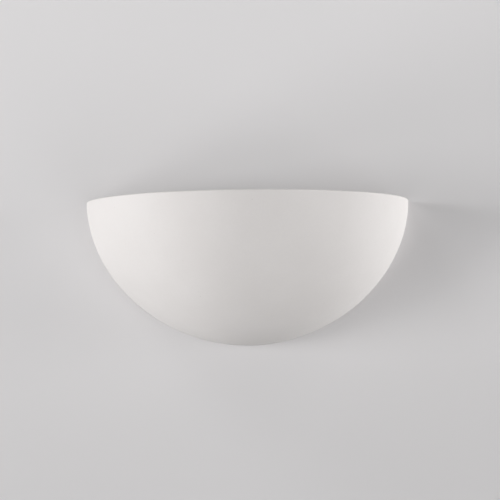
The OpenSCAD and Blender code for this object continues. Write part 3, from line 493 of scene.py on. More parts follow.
brass = Look("turned_brass")
brass_patch = brass.speckle(90, 3)
brass_lines = brass.speckle(1500, 2, 0.7, brass.place((0.15, 0.15, 1)))
brass.set(base_color=brass.tint(brass_patch, (0.68, 0.50, 0.21), (0.76, 0.58, 0.27)), metallic=1.0,
          roughness=0.22 + 0.16 * brass_patch + 0.1 * brass_lines,
          normal=brass.relief(brass_lines, 0.02 * mm, 0.5))
insert = turned("insert", eased([
    (2.0, -12), (2.6, -12, 0.1), (2.9, -11.6, 0.1), (2.9, -8.6), (2.5, -8.2), (2.5, -7.2), (2.9, -6.8),
    (2.9, -3.4), (2.5, -3), (2.5, -2), (2.9, -1.6), (2.9, 0), (2.3, 0), (2.0, -0.3)]), 40)
for piece in copies(insert, [at(*p) for p in insert_places]):
    dressed(rounded(piece, 0), brass, "turned_brass", "bowl", "plate_inserts")

# ---------------------------------------------------------------------------------------------
# Hanger plates. A zinc-plated plate is screwed on each boss and rests on the bracket's ledge.
# Four slotted pan-head screws hold the two plates, and a washer lies under each clamp screw.
zinc = Look("zinc_plate")
spangle = zinc.add("ShaderNodeTexVoronoi", {"feature": "SMOOTH_F1"},
                   {"Vector": zinc.place(), "Scale": 260.0})
bloom = zinc.speckle(120, 4, 0.6)
zinc.set(base_color=zinc.tint(bloom, (0.55, 0.58, 0.61), (0.68, 0.69, 0.67)), metallic=1.0,
         roughness=0.3 + 0.2 * bloom + 0.08 * spangle, normal=zinc.relief(bloom, 0.03 * mm, 0.5))
plate_in, plate_out, plate_front, plate_back, plate_low, plate_top = 95, 136.2, -29.5, -2.5, 18, 20
clamp_x, clamp_y = 104, -16
plate = block("rest_plate_right", (plate_in, plate_front, plate_low),
              (plate_out, plate_back, plate_top), 3, 2)
combined(plate, [drill((x, y, plate_low), r, 8) for x, y, r in (
    (clamp_x, clamp_y, 2.75), (insert_x, -9, 2.25), (insert_x, -23, 2.25))])
rounded(plate, 0.25)
mirrored = Matrix.Diagonal((-1, 1, 1, 1))
dressed(twin(plate, "rest_plate_left", mirrored), zinc, "zinc_plate", "bowl", "hanger_plate_left")
dressed(plate, zinc, "zinc_plate", "bowl", "hanger_plate_right")


def slotted_screw(name, shank_r, shank_l, head_r, head_h, pitch):
    """A pan-head screw: its head stands on z = 0 and its threaded shank runs down."""
    root = 0.84 * shank_r
    profile = (eased([(0, head_h), (0.72 * head_r, head_h, 0.5 * head_r), (head_r, 0.45 * head_h, 0.3),
                      (head_r, 0, 0.12), (shank_r, 0)], False)
               + ridges(shank_r, root, -0.4, -shank_l + 0.5, pitch) + [(root, -shank_l), (0, -shank_l)])
    screw = turned(name, profile, 40)
    combined(screw, [block("cut", (-head_r - 1, -0.45, 0.55 * head_h), (head_r + 1, 0.45, head_h + 1))])
    return rounded(screw, 0.08, 1)


def surface(name, patches, dark, light, rough, spread, relief=None, **more):
    """A material with faint patches in its colour and its gloss. Relief gives its grain, or None
    for the patches' own, its depth in millimetres and its strength."""
    look = Look(name)
    tone = look.speckle(*patches)
    if relief:
        grain, depth, strength = relief
        more["normal"] = look.relief(look.speckle(*grain) if grain else tone, depth * mm, strength)
    return look.set(base_color=look.tint(tone, dark, light), roughness=rough + spread * tone, **more)


steel = surface("zinc_screws", (200, 3), (0.52, 0.55, 0.58), (0.64, 0.65, 0.64), 0.28, 0.18,
                ((900, 2), 0.02, 0.4), metallic=1.0)
screw = slotted_screw("plate_screw", 1.95, 13, 3.8, 2.5, 0.7)
turns = (25, -70, 100, -15)
for piece in copies(screw, [at(x, y, plate_top, t) for (x, y, _), t in zip(insert_places, turns)]):
    dressed(piece, steel, "zinc_screws", "bowl", "plate_screws")

washer = turned("clamp_washer", eased([(2.75, 0), (6, 0, 0.15), (6, 1, 0.3), (2.75, 1, 0.15)]), 56)
for piece in copies(washer, [at(side * clamp_x, clamp_y, plate_top) for side in (-1, 1)]):
    dressed(rounded(piece, 0), zinc, "zinc_plate", "bowl", "thumb_washers")

# ---------------------------------------------------------------------------------------------
# Clamp screws. Each is turned in brass, with twenty straight grooves round its head for the
# fingers and a dished top. With its nut plate it clamps the hanger plate on the ledge.
knob_r, knob_low, knob_high, shank_r, shank_low = 8, 21, 30, 2.45, 9
groove_r, grooves, collar = 0.8, 20, 1.8
knob = turned("clamp_screw", eased([
    (0, shank_low), (1.7, shank_low, 0.1), (2.2, shank_low + 0.6), (2.2, shank_low + 0.7)], False)
    + ridges(shank_r, 2.05, shank_low + 0.8, knob_low - 1.2, 0.8)
    + eased([(2.0, knob_low - 1.2), (2.0, knob_low, 0.2), (7.4, knob_low, 0.15),
             (knob_r, knob_low + 0.5, 0.2), (knob_r, knob_low + collar - 0.15, 0.1),
             (knob_r - 0.12, knob_low + collar), (knob_r, knob_low + collar + 0.15),
             (knob_r, knob_low + 4.5), (knob_r, knob_high - 1.2, 0.5), (knob_r - 0.9, knob_high, 0.5),
             (4.6, knob_high, 0.25), (4.3, knob_high - 1, 0.4), (0, knob_high - 1)], False), grooves * 10)
for v in knob.data.vertices:
    reach = math.hypot(v.co.x, v.co.y) / mm
    if v.co.z > (knob_low + collar) * mm and reach > knob_r - 1.2:
        part = math.atan2(v.co.y, v.co.x) / math.tau * grooves
        aside = abs(part - round(part)) * math.tau / grooves * knob_r
        limit = knob_r - math.sqrt(max(0.0, groove_r ** 2 - aside ** 2))
        v.co.xy = v.co.xy * min(1.0, limit / reach)
rounded(knob, 0)
for side, name in ((-1, "left"), (1, "right")):
    piece = twin(knob, f"clamp_screw_{name}_knob", at(side * clamp_x, clamp_y, 0, 7 * side))
    dressed(piece, brass, "turned_brass", f"clamp_screw_{name}", f"thumbscrew_{name}")
bpy.data.objects.remove(knob)

# Nut plates. Each is a short steel bar with a chamfered back edge that slides on the bracket's
# plate, so that it can't turn with the screw.
nut_front, nut_back, nut_low, nut_high, nut_half = -24, -2.3, 12, 16, 4
nut_outline = [(nut_front, nut_low), (nut_back, nut_low), (nut_back, nut_high - 1.4),
               (nut_back - 1.4, nut_high), (nut_front, nut_high)]


def bar(name, outline, low, high):
    """A shape drawn in y and z and carried along x from one place to another."""
    piece = drawn(name, [(low, y, z) for y, z in outline + outline[:1]])
    bpy.ops.mesh.edge_face_add()
    bpy.ops.mesh.extrude_region_move(TRANSFORM_OT_translate={"value": ((high - low) * mm, 0, 0)})
    return outward(piece)


nut = bar("nut_bar_right", nut_outline, clamp_x - nut_half, clamp_x + nut_half)
combined(nut, [drill((clamp_x, clamp_y, nut_low), 2.5, 12)])
rounded(nut, 0.3)
left_nut = twin(nut, "nut_bar_left", mirrored)
dressed(left_nut, zinc, "zinc_plate", "clamp_nut_left", "nut_plate_left")
dressed(nut, zinc, "zinc_plate", "clamp_nut_right", "nut_plate_right")

# ---------------------------------------------------------------------------------------------
# Wall bracket. It is folded from 2 mm steel sheet and coated in white powder: an upright plate
# with the wall slots and the cable hole, and a ledge at each end with a slot for the clamp screw.
coat = Look("powder_coat")
peel = coat.speckle(1100, 2, 0.5)
coat_tone = coat.speckle(25, 3)
coat.set(base_color=coat.tint(coat_tone, (0.785, 0.785, 0.775), (0.815, 0.815, 0.805)),
         roughness=0.38 + 0.1 * peel, specular_ior_level=0.5, normal=coat.relief(peel, 0.035 * mm, 0.7))
sheet_t, bracket_half, bracket_low, bend_z, ledge_in, ledge_front = 2, 114, -18, 15, 94, -30
bend_mid_r, bend_steps, low_corner_r, corner_steps = 2, 6, 5, 8
wall_slot_x, wall_slot_half, wall_slot_r, clamp_slot_r, cable_hole_r = 30, 6, 2.5, 2.75, 8


def folded(piece, start_edges, moves):
    """Extrudes the chosen edges of a sheet again and again, as it is folded."""
    clear(piece)
    bpy.ops.object.mode_set(mode="EDIT")
    bpy.ops.mesh.select_mode(type="EDGE")
    bpy.ops.mesh.select_all(action="DESELECT")
    bpy.ops.object.mode_set(mode="OBJECT")
    places = [v.co / mm for v in piece.data.vertices]
    for edge in piece.data.edges:
        edge.select = start_edges(*(places[i] for i in edge.vertices))
    bpy.ops.object.mode_set(mode="EDIT")
    for a, b in zip(moves, moves[1:]):
        bpy.ops.mesh.extrude_region_move(TRANSFORM_OT_translate={"value": (Vector(b) - Vector(a)) * mm})
    bpy.ops.mesh.select_mode(type="VERT")
    bpy.ops.object.mode_set(mode="OBJECT")
    return piece


def thickened(piece, thickness):
    """Gives a sheet its thickness, half to each side."""
    changed(piece, "SOLIDIFY", thickness=thickness * mm, offset=0, use_even_offset=True)
    return outward(piece)


corner_x, corner_z = bracket_half - low_corner_r, bracket_low + low_corner_r
half = (arc((corner_x, corner_z), low_corner_r, -90, 90, corner_steps)
        + [(bracket_half, bend_z), (ledge_in, bend_z)])
half_outline = [(x, -sheet_t / 2, z) for x, z in half]
other_half = [(-x, y, z) for x, y, z in half_outline[::-1]]
bracket = drawn("wall_plate", half_outline + other_half + half_outline[:1])
bpy.ops.mesh.edge_face_add()
bend = [(0, y, z) for y, z in arc((-sheet_t / 2 - bend_mid_r, bend_z), bend_mid_r, 0, 90, bend_steps)]
folded(bracket, lambda a, b: abs(a.x + b.x) > 2 * ledge_in and min(a.z, b.z) > bend_z - 0.1,
       bend + [(0, ledge_front, bend[-1][2])])
thickened(bracket, sheet_t)
cuts = [block("cut", (s * wall_slot_x - wall_slot_half, -4, -wall_slot_r),
              (s * wall_slot_x + wall_slot_half, 2, wall_slot_r), wall_slot_r - 0.01, 1) for s in (-1, 1)]
cuts += [block("cut", (s * clamp_x - clamp_slot_r, -40, 10),
               (s * clamp_x + clamp_slot_r, clamp_y + clamp_slot_r, 24), clamp_slot_r - 0.01, 2)
         for s in (-1, 1)]
cuts += [drill((x, -1, z), r, 8, 1) for x, z, r in (
    (-clamp_x, 0, 2.5), (clamp_x, 0, 2.5), (0, 0, cable_hole_r), (-84, 7, 2), (-84, -7, 2),
    (71.5, 0, 1.25), (41, -11, 2.5), (-46, 10.5, 1.55))]
combined(bracket, cuts)
rounded(bracket, 0.22)
dressed(bracket, coat, "painted_steel", "bracket", "wall_bracket")

# Cable bush. It is a soft black rubber ring snapped into the cable hole, with its flange in front.
rubber = surface("black_rubber", (160, 3), (0.028, 0.028, 0.028), (0.055, 0.053, 0.05), 0.6, 0.2,
                 ((700, 2), 0.03, 0.6), specular_ior_level=0.4)
forward = Matrix.Rotation(math.pi / 2, 4, "X")
bush = turned("cable_bush", eased([
    (4, 0.25, 0.5), (7.9, 0.25, 0.4), (7.9, 2), (10, 2, 0.3), (10, 3.5, 0.8), (6.4, 3.5, 0.4),
    (5.8, 3.1, 0.4), (4, 3.1, 0.9)]), 64)
dressed(rounded(put(bush, forward), 0), rubber, "black_rubber", "bracket", "entry_grommet")

# ---------------------------------------------------------------------------------------------
# Holder arm. It is folded from the same coated sheet: a foot held by two screws, and an upright
# web with a round end that carries the lampholder, with a small rubber bush for the wires.
seat_x, lamp_y, arm_half, arm_end_r, foot_end = -96, -64, 11, 13, -72
web_x, web_start, foot_y = seat_x - sheet_t / 2, -5, -3
meet = math.degrees(math.asin(arm_half / arm_end_r))
round_end = [(web_x, y, z) for y, z in arc((lamp_y, 0), arm_end_r, -meet, -360 + 2 * meet, 32)]
web = [(web_x, web_start, -arm_half)] + round_end + [(web_x, web_start, arm_half)]
arm = drawn("arm", web + web[:1])
bpy.ops.mesh.edge_face_add()
arm_bend = [(x, y, 0) for x, y in arc((web_x + bend_mid_r, web_start), bend_mid_r, 180, -90, bend_steps)]
folded(arm, lambda a, b: a.y > web_start - 0.1 and b.y > web_start - 0.1,
       arm_bend + [(foot_end, arm_bend[-1][1], 0)])
thickened(arm, sheet_t)
bevelled(arm, 2, lambda a, b: min(a.x, b.x) > foot_end - 0.1 and abs((a - b).y) > 1)
combined(arm, [drill((web_x, lamp_y, 0), 5.1, 8, 0), drill((web_x, -14, 0), 5, 8, 0),
               drill((-84, foot_y, 7), 2.25, 8, 1), drill((-84, foot_y, -7), 2.25, 8, 1)])
rounded(arm, 0.22)
dressed(arm, coat, "painted_steel", "bracket", "holder_arm")

foot_screw = slotted_screw("arm_screw", 1.95, 3.8, 3.8, 2.5, 0.7)
foot_places = [at(-84, -4, z) @ forward @ at(0, 0, 0, t) for z, t in ((7, 40), (-7, -28))]
for piece in copies(foot_screw, foot_places):
    dressed(piece, steel, "zinc_screws", "bracket", "arm_screws")

arm_bush = turned("arm_bush", eased([
    (3.4, 0, 0.5), (6.5, 0, 0.6), (6.5, 1, 0.3), (4.9, 1), (4.9, 3), (6.5, 3, 0.3), (6.5, 4, 0.6),
    (3.4, 4, 0.5)]), 48)
put(arm_bush, at(-99, -14, 0, 90, "Y"))
dressed(rounded(arm_bush, 0), rubber, "black_rubber", "bracket", "arm_grommet")

# ---------------------------------------------------------------------------------------------
# Nipple and locknut. The lampholder is screwed on a threaded tube, held by a thin hexagon nut.
lamp_axis = at(seat_x, lamp_y, 0, 90, "Y")
nickel = surface("nickel_tube", (150, 3), (0.60, 0.60, 0.585), (0.70, 0.695, 0.68), 0.24, 0.14,
                 ((800, 2), 0.02, 0.4), metallic=1.0)
tube = turned("threaded_tube", [(3.4, -6), (4.7, -6)] + ridges(4.95, 4.6, -5.8, 7.8, 1)
              + [(4.7, 8), (3.4, 8), (3.4, -6)], 56)
dressed(rounded(put(tube, lamp_axis), 0), nickel, "nickel_tube", "bracket", "nipple")


def hex_nut(name, corner_r, bore_r, height):
    """A hexagon nut standing on z = 0, with the corners of both faces turned off."""
    nut = drill((0, 0, height / 2), corner_r, height, 2, 6)
    put(nut, Matrix.Rotation(math.pi / 2, 4, "Z"))
    nut.name = name
    flat_r, drop = 0.9 * corner_r, 0.12 * corner_r
    lens = turned("lens", [(0, 0), (flat_r, 0), (corner_r + 0.4, drop + 0.2),
                           (corner_r + 0.4, height - drop - 0.2), (flat_r, height), (0, height)], 48)
    combined(nut, [lens], "INTERSECT")
    combined(nut, [drill((0, 0, height / 2), bore_r, height + 4)])
    return rounded(nut, 0.12)


locknut = put(hex_nut("locknut", 7.5, 5, 3), lamp_axis @ at(0, 0, -5))
dressed(locknut, nickel, "nickel_tube", "bracket", "nipple_locknut")

# ---------------------------------------------------------------------------------------------
# Lampholder. Its cap and its skirt are moulded in white heat-proof plastic, with fine flutes
# round them for the hand. The cap is screwed on the nipple and the skirt is screwed on the cap.
moulded = surface("holder_plastic", (60, 3), (0.785, 0.775, 0.735), (0.815, 0.805, 0.765), 0.36, 0.1,
                  ((1400, 2), 0.015, 0.5), specular_ior_level=0.5)
cap_l, holder_r, dome_r, flat_r, flutes, flute_depth = 20, 19.5, 9, 10.5, 40, 0.35


def fluted(piece, low, high, least_r):
    """Carves upright flutes in the outside of a turned piece, between two heights."""
    for v in piece.data.vertices:
        reach, up = math.hypot(v.co.x, v.co.y) / mm, v.co.z / mm
        if low < up < high and reach > least_r:
            part = math.atan2(v.co.y, v.co.x) / math.tau * flutes
            hollow = flute_depth * math.cos(math.pi * (part - round(part))) ** 2
            v.co.xy = v.co.xy * (1 - hollow / reach)
    return piece


cap = turned("holder_rear_cap", eased(
    [(5, 0, 0.3)] + arc((flat_r, dome_r), dome_r, -90, 90, 12)
    + [(holder_r, 11), (holder_r, 11.7), (holder_r, 17.3), (holder_r, 18), (holder_r, cap_l, 0.4),
       (17, cap_l), (17, 27, 0.3), (15.2, 27, 0.2), (15.2, cap_l, 0.5), (17, 18, 0.4)]
    + arc((flat_r, dome_r), 6.5, 0, -90, 8) + [(7.45, 2.5, 0.4), (7.45, 9, 0.3), (5, 9, 0.3)]), flutes * 6)
fluted(cap, 11.2, 17.8, 19)
dressed(rounded(put(cap, lamp_axis), 0), moulded, "holder_plastic", "bracket", "holder_cap")
skirt = turned("holder_front_skirt", eased([
    (17.3, cap_l, 0.1), (holder_r, cap_l, 0.4), (holder_r, 22), (holder_r, 22.7), (holder_r, 44.3),
    (holder_r, 45), (holder_r, 52, 0.6), (18.6, 54, 0.7), (17, 54, 0.5), (17, 34, 0.4), (15.8, 33, 0.2),
    (15.8, 30), (17.3, 30)]), flutes * 6)
fluted(skirt, 22.2, 44.8, 19)
dressed(rounded(put(skirt, lamp_axis), 0), moulded, "holder_plastic", "bracket", "holder_skirt")


def softened(node, name, width, look, slot, body="bracket"):
    """Makes a piece from a copy of a CAD node, with its edges broken, and dresses it."""
    piece = bpy.data.objects.new(name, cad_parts[node].data.copy())
    bpy.context.collection.objects.link(piece)
    clear(piece)
    bpy.ops.object.mode_set(mode="EDIT")
    bpy.ops.mesh.select_all(action="SELECT")
    bpy.ops.mesh.remove_doubles(threshold=0.002 * mm)
    bpy.ops.mesh.dissolve_limited(angle_limit=math.radians(1))
    bpy.ops.object.mode_set(mode="OBJECT")
    dressed(rounded(piece, width), look, slot, body, node)


# Ceramic disc between cap and skirt. It carries the screw shell, the sprung centre contact, the
# strip to the shell and the two brass posts in which the wires are clamped.
ceramic = surface("white_ceramic", (90, 4, 0.6), (0.84, 0.82, 0.765), (0.875, 0.86, 0.81), 0.5, 0.14,
                  ((800, 3), 0.03, 0.5))
softened("holder_core", "ceramic_disc", 0.2, ceramic, "white_ceramic")

strip = surface("brass_sheet", (70, 4, 0.6), (0.70, 0.52, 0.23), (0.79, 0.61, 0.30), 0.26, 0.18,
                (None, 0.03, 0.4), metallic=1.0)
thread_pitch, thread_r, thread_rise, thread_sides, thread_rings = 3.629, 12.65, 0.45, 72, 14


def threaded(name, low, high, outer_r, inner_r, both_sides):
    """A sleeve rolled to a rounded screw thread, on its outside only or on both sides."""
    rings = int((high - low) / thread_pitch * thread_rings)
    heights = [low + (high - low) * i / rings for i in range(rings + 1)]
    inner = heights[::-1] if both_sides else [high, low]
    profile = [(outer_r, h) for h in heights] + [(inner_r, h) for h in inner]
    piece = turned(name, profile + profile[:1], thread_sides)
    for v in piece.data.vertices:
        reach = math.hypot(v.co.x, v.co.y)
        if both_sides or reach > (outer_r + inner_r) / 2 * mm:
            phase = math.tau * v.co.z / mm / thread_pitch - math.atan2(v.co.y, v.co.x)
            v.co.xy = v.co.xy * (1 + thread_rise * mm * math.cos(phase) / reach)
    return rounded(put(piece, lamp_axis), 0)


shell = threaded("screw_sleeve", 30, 50, thread_r + 0.85, thread_r + 0.25, True)
dressed(shell, strip, "brass_sheet", "bracket", "screw_shell")
softened("centre_leaf", "contact_leaf", 0.08, strip, "brass_sheet")
softened("side_strap", "shell_strip", 0.08, strip, "brass_sheet")
softened("holder_terminals", "wire_posts", 0.25, brass, "turned_brass")
softened("holder_terminal_screws", "post_screws", 0.12, steel, "zinc_screws")

# ---------------------------------------------------------------------------------------------
# Lamp. A drawn nickel-plated cap with a solder contact on black glass, a white moulded housing
# that widens to the globe, and an opal plastic globe over the board with its light sources.
cap_metal = surface("lamp_nickel", (110, 4, 0.6), (0.62, 0.63, 0.64), (0.74, 0.75, 0.755), 0.2, 0.18,
                    (None, 0.04, 0.4), metallic=1.0)
lamp_cap = threaded("threaded_cap", 37, 55, thread_r, 11.3, False)
dressed(lamp_cap, cap_metal, "lamp_nickel", "lamp", "lamp_cap")

solder = surface("lamp_solder", (500, 3), (0.50, 0.50, 0.51), (0.68, 0.68, 0.69), 0.32, 0.25,
                 (None, 0.05, 0.6), metallic=1.0)
tip = turned("solder_tip", eased([
    (0, 32.5), (3.2, 32.62, 0.7), (4.5, 34, 0.4), (4.4, 34.02), (0, 34.02)], False), 40)
dressed(rounded(put(tip, lamp_axis), 0), solder, "lamp_solder", "lamp_tip", "lamp_contact")

glass = surface("lamp_insulator", (200, 3), (0.012, 0.012, 0.014), (0.03, 0.03, 0.034), 0.12, 0.12,
                (None, 0.05, 0.4))
vitrite = turned("glass_ring", eased([
    (0, 34), (5.3, 34, 0.4), (11.9, 37, 0.4), (11.2, 37.3), (11.2, 38.5, 0.3), (0, 38.5)], False), 64)
dressed(rounded(put(vitrite, lamp_axis), 0), glass, "lamp_insulator", "lamp_tip", "cap_insulator")

neck_r, seat_r, housing_low, housing_high = 14, 27.6, 55, 88


def housing_r(w):
    """Radius of the housing at a distance along the lamp."""
    part = (w - housing_low) / (housing_high - housing_low)
    return neck_r + (seat_r - neck_r) * (1 - math.cos(math.pi * part)) / 2


widths = [housing_low + (housing_high - housing_low) * i / 32 for i in range(32)]
housing_out = [(housing_r(w), w) for w in widths] + [
    (seat_r - 0.02, 86.9), (seat_r - 0.4, 87.05), (seat_r - 0.4, 87.55), (seat_r, 87.7), (seat_r, 88)]
housing_in = [(min(housing_r(w) - 1.5, 22.9), w) for w in widths if 57 < w < 84.4]
board_bore = [(24.15, 88), (24.15, 84.4), (22.9, 84.4)]
housing = turned("lamp_body", [(9.7, 51), (11.2, 51)] + housing_out + board_bore + housing_in[::-1]
                 + [(9.7, 57), (9.7, 51)], 96)
body_white = surface("lamp_body", (50, 3), (0.815, 0.815, 0.795), (0.84, 0.84, 0.82), 0.24, 0.1,
                     ((1300, 2), 0.012, 0.5))
dressed(rounded(put(housing, lamp_axis), 0), body_white, "lamp_body", "lamp", "lamp_housing")

globe_r, globe_w, globe_t = 30, 112.5, 1.5
flare_steps = 14
flare = [(seat_r + (globe_r - seat_r) * math.sin(math.pi / 2 * i / flare_steps),
          housing_high + (globe_w - housing_high) * i / flare_steps) for i in range(flare_steps)]
dome = arc((0, globe_w), globe_r, 0, 90, 30)[:-1] + [(0, globe_w + globe_r)]
thin_dome = arc((0, globe_w), globe_r - globe_t, 90, -90, 30)
thin_dome[0] = (0, globe_w + globe_r - globe_t)
globe = turned("opal_globe", thin_dome + [(r - globe_t, h) for r, h in flare[::-1]] + flare + dome, 96)
opal = surface("opal_globe", (45, 3), (0.87, 0.87, 0.85), (0.892, 0.892, 0.875), 0.2, 0.08,
               ((25, 2), 0.1, 0.3), subsurface_weight=0.15, subsurface_scale=0.004, coat_weight=0.15)
dressed(rounded(put(globe, lamp_axis), 0), opal, "opal_globe", "lamp", "lamp_envelope")

board_white = surface("board_aluminium", (300, 3), (0.76, 0.77, 0.78), (0.80, 0.81, 0.82), 0.35, 0.12,
                      metallic=0.4)
softened("led_board", "light_board", 0.15, board_white, "board_aluminium", "lamp")

phosphor = surface("phosphor", (900, 3), (0.80, 0.62, 0.17), (0.88, 0.73, 0.27), 0.5, 0.2)
softened("led_chips", "light_chips", 0.12, phosphor, "phosphor", "lamp")

card = surface("green_board", (400, 3), (0.045, 0.19, 0.08), (0.075, 0.25, 0.12), 0.3, 0.2)
softened("driver_board", "driver_card", 0.2, card, "green_board", "lamp")

# ---------------------------------------------------------------------------------------------
# Terminal block. Three brass tubes lie in a body of natural nylon, cut from a longer strip. Six
# grub screws clamp the wires and one screw between two poles holds the block on the bracket.
nylon = surface("terminal_plastic", (70, 3), (0.80, 0.78, 0.725), (0.84, 0.82, 0.77), 0.4, 0.12,
                ((1000, 2), 0.02, 0.5), subsurface_weight=0.1, subsurface_scale=0.003)
block_left, block_right, block_front, block_half_h, pole_y, tube_r = 47.5, 84.5, -18, 9, -10, 2.85
pole_xs, gap_xs, pole_screw_z, fixing_x = (55, 66, 77), (60.5, 71.5), 4.5, 71.5
body_block = block("strip_body", (block_left, block_front, -block_half_h),
                   (block_right, -sheet_t, block_half_h), 1.2, 2)
holes = [drill((x, pole_y, 0), tube_r, 30) for x in pole_xs]
holes += [drill((x, -15, s * pole_screw_z), 1.75, 10, 1, 28) for x in pole_xs for s in (-1, 1)]
holes += [drill((fixing_x, -13, 0), 2.25, 14, 1, 28), drill((fixing_x, -3, 0), 1.25, 8, 1, 24)]
holes += [block("notch", (x - 0.8, -30, s * 12 - 4.8), (x + 0.8, -6, s * 12 + 4.8), 0.7, 1)
          for x in gap_xs for s in (-1, 1)]
combined(body_block, holes)
rounded(body_block, 0.25)
dressed(body_block, nylon, "terminal_plastic", "bracket", "terminal_body")
softened("terminal_inserts", "strip_tubes", 0.12, brass, "turned_brass")
softened("terminal_screws", "strip_screws", 0.12, steel, "zinc_screws")
strip_screw = put(slotted_screw("strip_fixing_screw", 1.2, 5.8, 2.2, 1.6, 0.5),
                  at(fixing_x, -6, 0) @ forward @ at(0, 0, 0, 60))
dressed(strip_screw, steel, "zinc_screws", "bracket", "terminal_fixing_screw")

# ---------------------------------------------------------------------------------------------
# Earth connection. A brass stud is pressed in the bracket from behind. The crimped ring on the
# earth wire is held on it by a washer and a brass hexagon nut.
earth_place = at(41, 0, -11) @ forward
stud = turned("earth_bolt", [(0, 0.25), (2.2, 0.25), (2.45, 0.4), (2.45, 2), (1.9, 2)]
              + ridges(1.95, 1.68, 2.2, 9.6, 0.7) + [(1.6, 10), (0, 10)], 40)
dressed(rounded(put(stud, earth_place), 0), brass, "turned_brass", "bracket", "earth_stud")
tin = surface("tinned_copper", (240, 4, 0.6), (0.60, 0.60, 0.61), (0.73, 0.73, 0.74), 0.28, 0.2,
              (None, 0.03, 0.5), metallic=1.0)
softened("earth_ring", "ring_lug", 0.12, tin, "tinned_copper")
lug_washer = turned("lug_washer", eased([(2, 2.8), (4.4, 2.8, 0.15), (4.4, 3.8, 0.3), (2, 3.8, 0.15)]), 48)
dressed(rounded(put(lug_washer, earth_place), 0), tin, "tinned_copper", "bracket", "earth_washer")
lug_nut = put(hex_nut("lug_nut", 4, 2, 3.2), earth_place @ at(0, 0, 3.8))
dressed(lug_nut, brass, "turned_brass", "bracket", "earth_nut")

# ---------------------------------------------------------------------------------------------
# Wires. Three single wires with a soft silicone sleeve leave the terminal block. Two run through
# the clip and the arm's bush and in by the nipple to the lampholder, and one goes to the stud.
wire_r, wire_sides, wire_steps = 1.2, 12, 6
wire_routes = {
    "live": [
        (77, -10, 9.6), (77, -10, 14.2), (76.4, -10, 17.5), (72, -9.6, 22.4), (60, -9.3, 23.2),
        (44, -8.8, 19.5), (28, -7.4, 13.6), (12, -7, 12), (-38, -7, 12), (-51, -7, 12), (-56, -7, 12),
        (-72, -11.8, 6.912), (-88, -14, 1.6), (-99, -14.4, 1.4), (-107, -24, 1.4), (-109, -42, 1.4),
        (-107.5, -57, 1.4), (-101.5, -64, 1.4), (-94, -64, 1.4), (-87, -64, 2), (-83.4, -64, 6.2),
        (-79.2, -64, 8), (-74.6, -64, 8)],
    "neutral": [
        (66, -10, 9.6), (66, -10, 14.2), (65, -10.6, 17.5), (58, -12.8, 19.6), (44, -12, 16.6),
        (28, -8.2, 10.8), (12, -7, 9), (-38, -7, 9), (-51, -7, 9), (-56, -7, 9), (-72, -11.8, 4.008),
        (-88, -14, -1.6), (-99, -14.4, -1.4), (-107, -24, -1.4), (-109, -42, -1.4), (-107.5, -57, -1.4),
        (-101.5, -64, -1.4), (-94, -64, -1.4), (-87, -64, -2), (-83.4, -64, -6.2), (-79.2, -64, -8),
        (-74.6, -64, -8)],
    "earth": [
        (55, -10, 9.6), (55, -10, 14.2), (53.5, -9.4, 17.2), (48.4, -7.6, 16.6), (43, -5.4, 10),
        (41, -4.1, 3), (41, -4.1, 0.5), (41, -4.1, -4.5)]}
wire_colours = {
    "live": ((0.155, 0.065, 0.03), (0.185, 0.085, 0.042)),
    "neutral": ((0.025, 0.09, 0.33), (0.035, 0.11, 0.38)),
    "earth": ((0.06, 0.26, 0.05), (0.62, 0.56, 0.05))}
wire_slots = {"live": "brown_insulation", "neutral": "blue_insulation", "earth": "earth_insulation"}

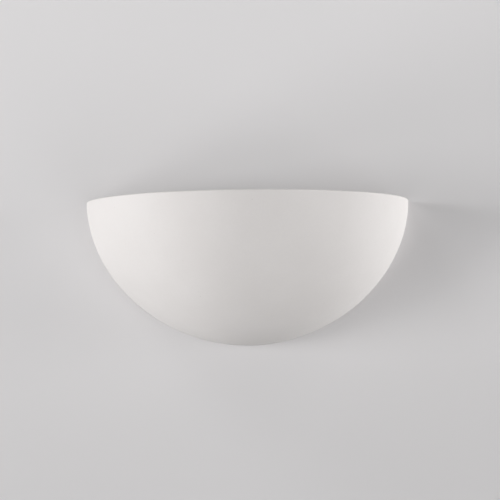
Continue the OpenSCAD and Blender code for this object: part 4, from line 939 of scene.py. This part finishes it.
for use, route in wire_routes.items():
    path = []
    for i in range(len(route) - 1):
        a, b, c, d = (Vector(route[min(max(j, 0), len(route) - 1)]) for j in range(i - 1, i + 3))
        for t in (k / wire_steps for k in range(wire_steps)):
            path.append((2 * b + (c - a) * t + (2 * a - 5 * b + 4 * c - d) * t ** 2
                         + (3 * b - a - 3 * c + d) * t ** 3) / 2)
    path.append(Vector(route[-1]))
    curve = bpy.data.curves.new(f"{use}_lead", "CURVE")
    curve.dimensions = "3D"
    curve.bevel_depth, curve.bevel_resolution = wire_r * mm, wire_sides // 2 - 2
    curve.use_fill_caps = True
    line = curve.splines.new("POLY")
    line.points.add(len(path) - 1)
    for point, place in zip(line.points, path):
        point.co = (*(place * mm), 1)
    lead = bpy.data.objects.new(f"{use}_lead", curve)
    bpy.context.collection.objects.link(lead)
    clear(lead)
    bpy.ops.object.convert(target="MESH")
    round_it = lead.data.attributes.new("round_it", "FLOAT", "POINT")
    for i, value in enumerate(round_it.data):
        value.value = abs(2 * (i % wire_sides) / wire_sides - 1)
    bpy.ops.object.mode_set(mode="EDIT")
    bpy.ops.mesh.select_all(action="SELECT")
    bpy.ops.mesh.remove_doubles(threshold=0.01 * mm)
    bpy.ops.object.mode_set(mode="OBJECT")
    sleeve = Look(wire_slots[use])
    skin_tone = mask = sleeve.speckle(220, 3)
    if use == "earth":
        around = sleeve.add("ShaderNodeAttribute", {"attribute_name": "round_it"}, output="Fac")
        mask = sleeve.between(around, 0.46, 0.54)
    sleeve.set(base_color=sleeve.tint(mask, *wire_colours[use]), roughness=0.42 + 0.15 * skin_tone,
               normal=sleeve.relief(sleeve.speckle(900, 2), 0.02 * mm, 0.5))
    dressed(rounded(lead, 0), sleeve, wire_slots[use], "bracket", f"{use}_wire")


# Ferrules. A tinned sleeve with a flared collar is crimped on each bared end.
def ferrule(name, pin_l):
    return rounded(turned(name, eased([
        (0, -pin_l), (0.6, -pin_l, 0.15), (0.6, -0.2, 0.2), (1.75, 0.2, 0.25), (1.75, 5, 0.15),
        (1.25, 5, 0.1), (1.25, 0.5), (0, 0.5)], False), 32), 0)


made = copies(ferrule("strip_ferrule", 8), [at(x, pole_y, block_half_h) for x in pole_xs])
made += copies(ferrule("post_ferrule", 4), [lamp_axis @ at(side * 8, 0, 22, 180, "X") for side in (-1, 1)])
for piece in made:
    dressed(piece, tin, "tinned_copper", "bracket", "wire_ferrules")

# Clip. It is a moulded nylon block with two grooves that the wires snap into from the front, and
# a barbed peg behind it in a hole of the bracket.
clip_x, clip_low, clip_high = -46, 6.8, 14.2
clip = block("lead_clip", (clip_x - 4, -9, clip_low), (clip_x + 4, -2, clip_high), 0.9, 0)
combined(clip, [drill((clip_x, -1.6, 10.5), 1.5, 2.8, 1, 28)], "UNION")
combined(clip, [drill((clip_x, -7, z), 1.26, 12, 0, 28) for z in (9, 12)]
         + [block("mouth", (clip_x - 6, -12, z - 0.35), (clip_x + 6, -7, z + 0.35)) for z in (9, 12)])
dressed(rounded(clip, 0.2), nylon, "terminal_plastic", "bracket", "wire_clip")
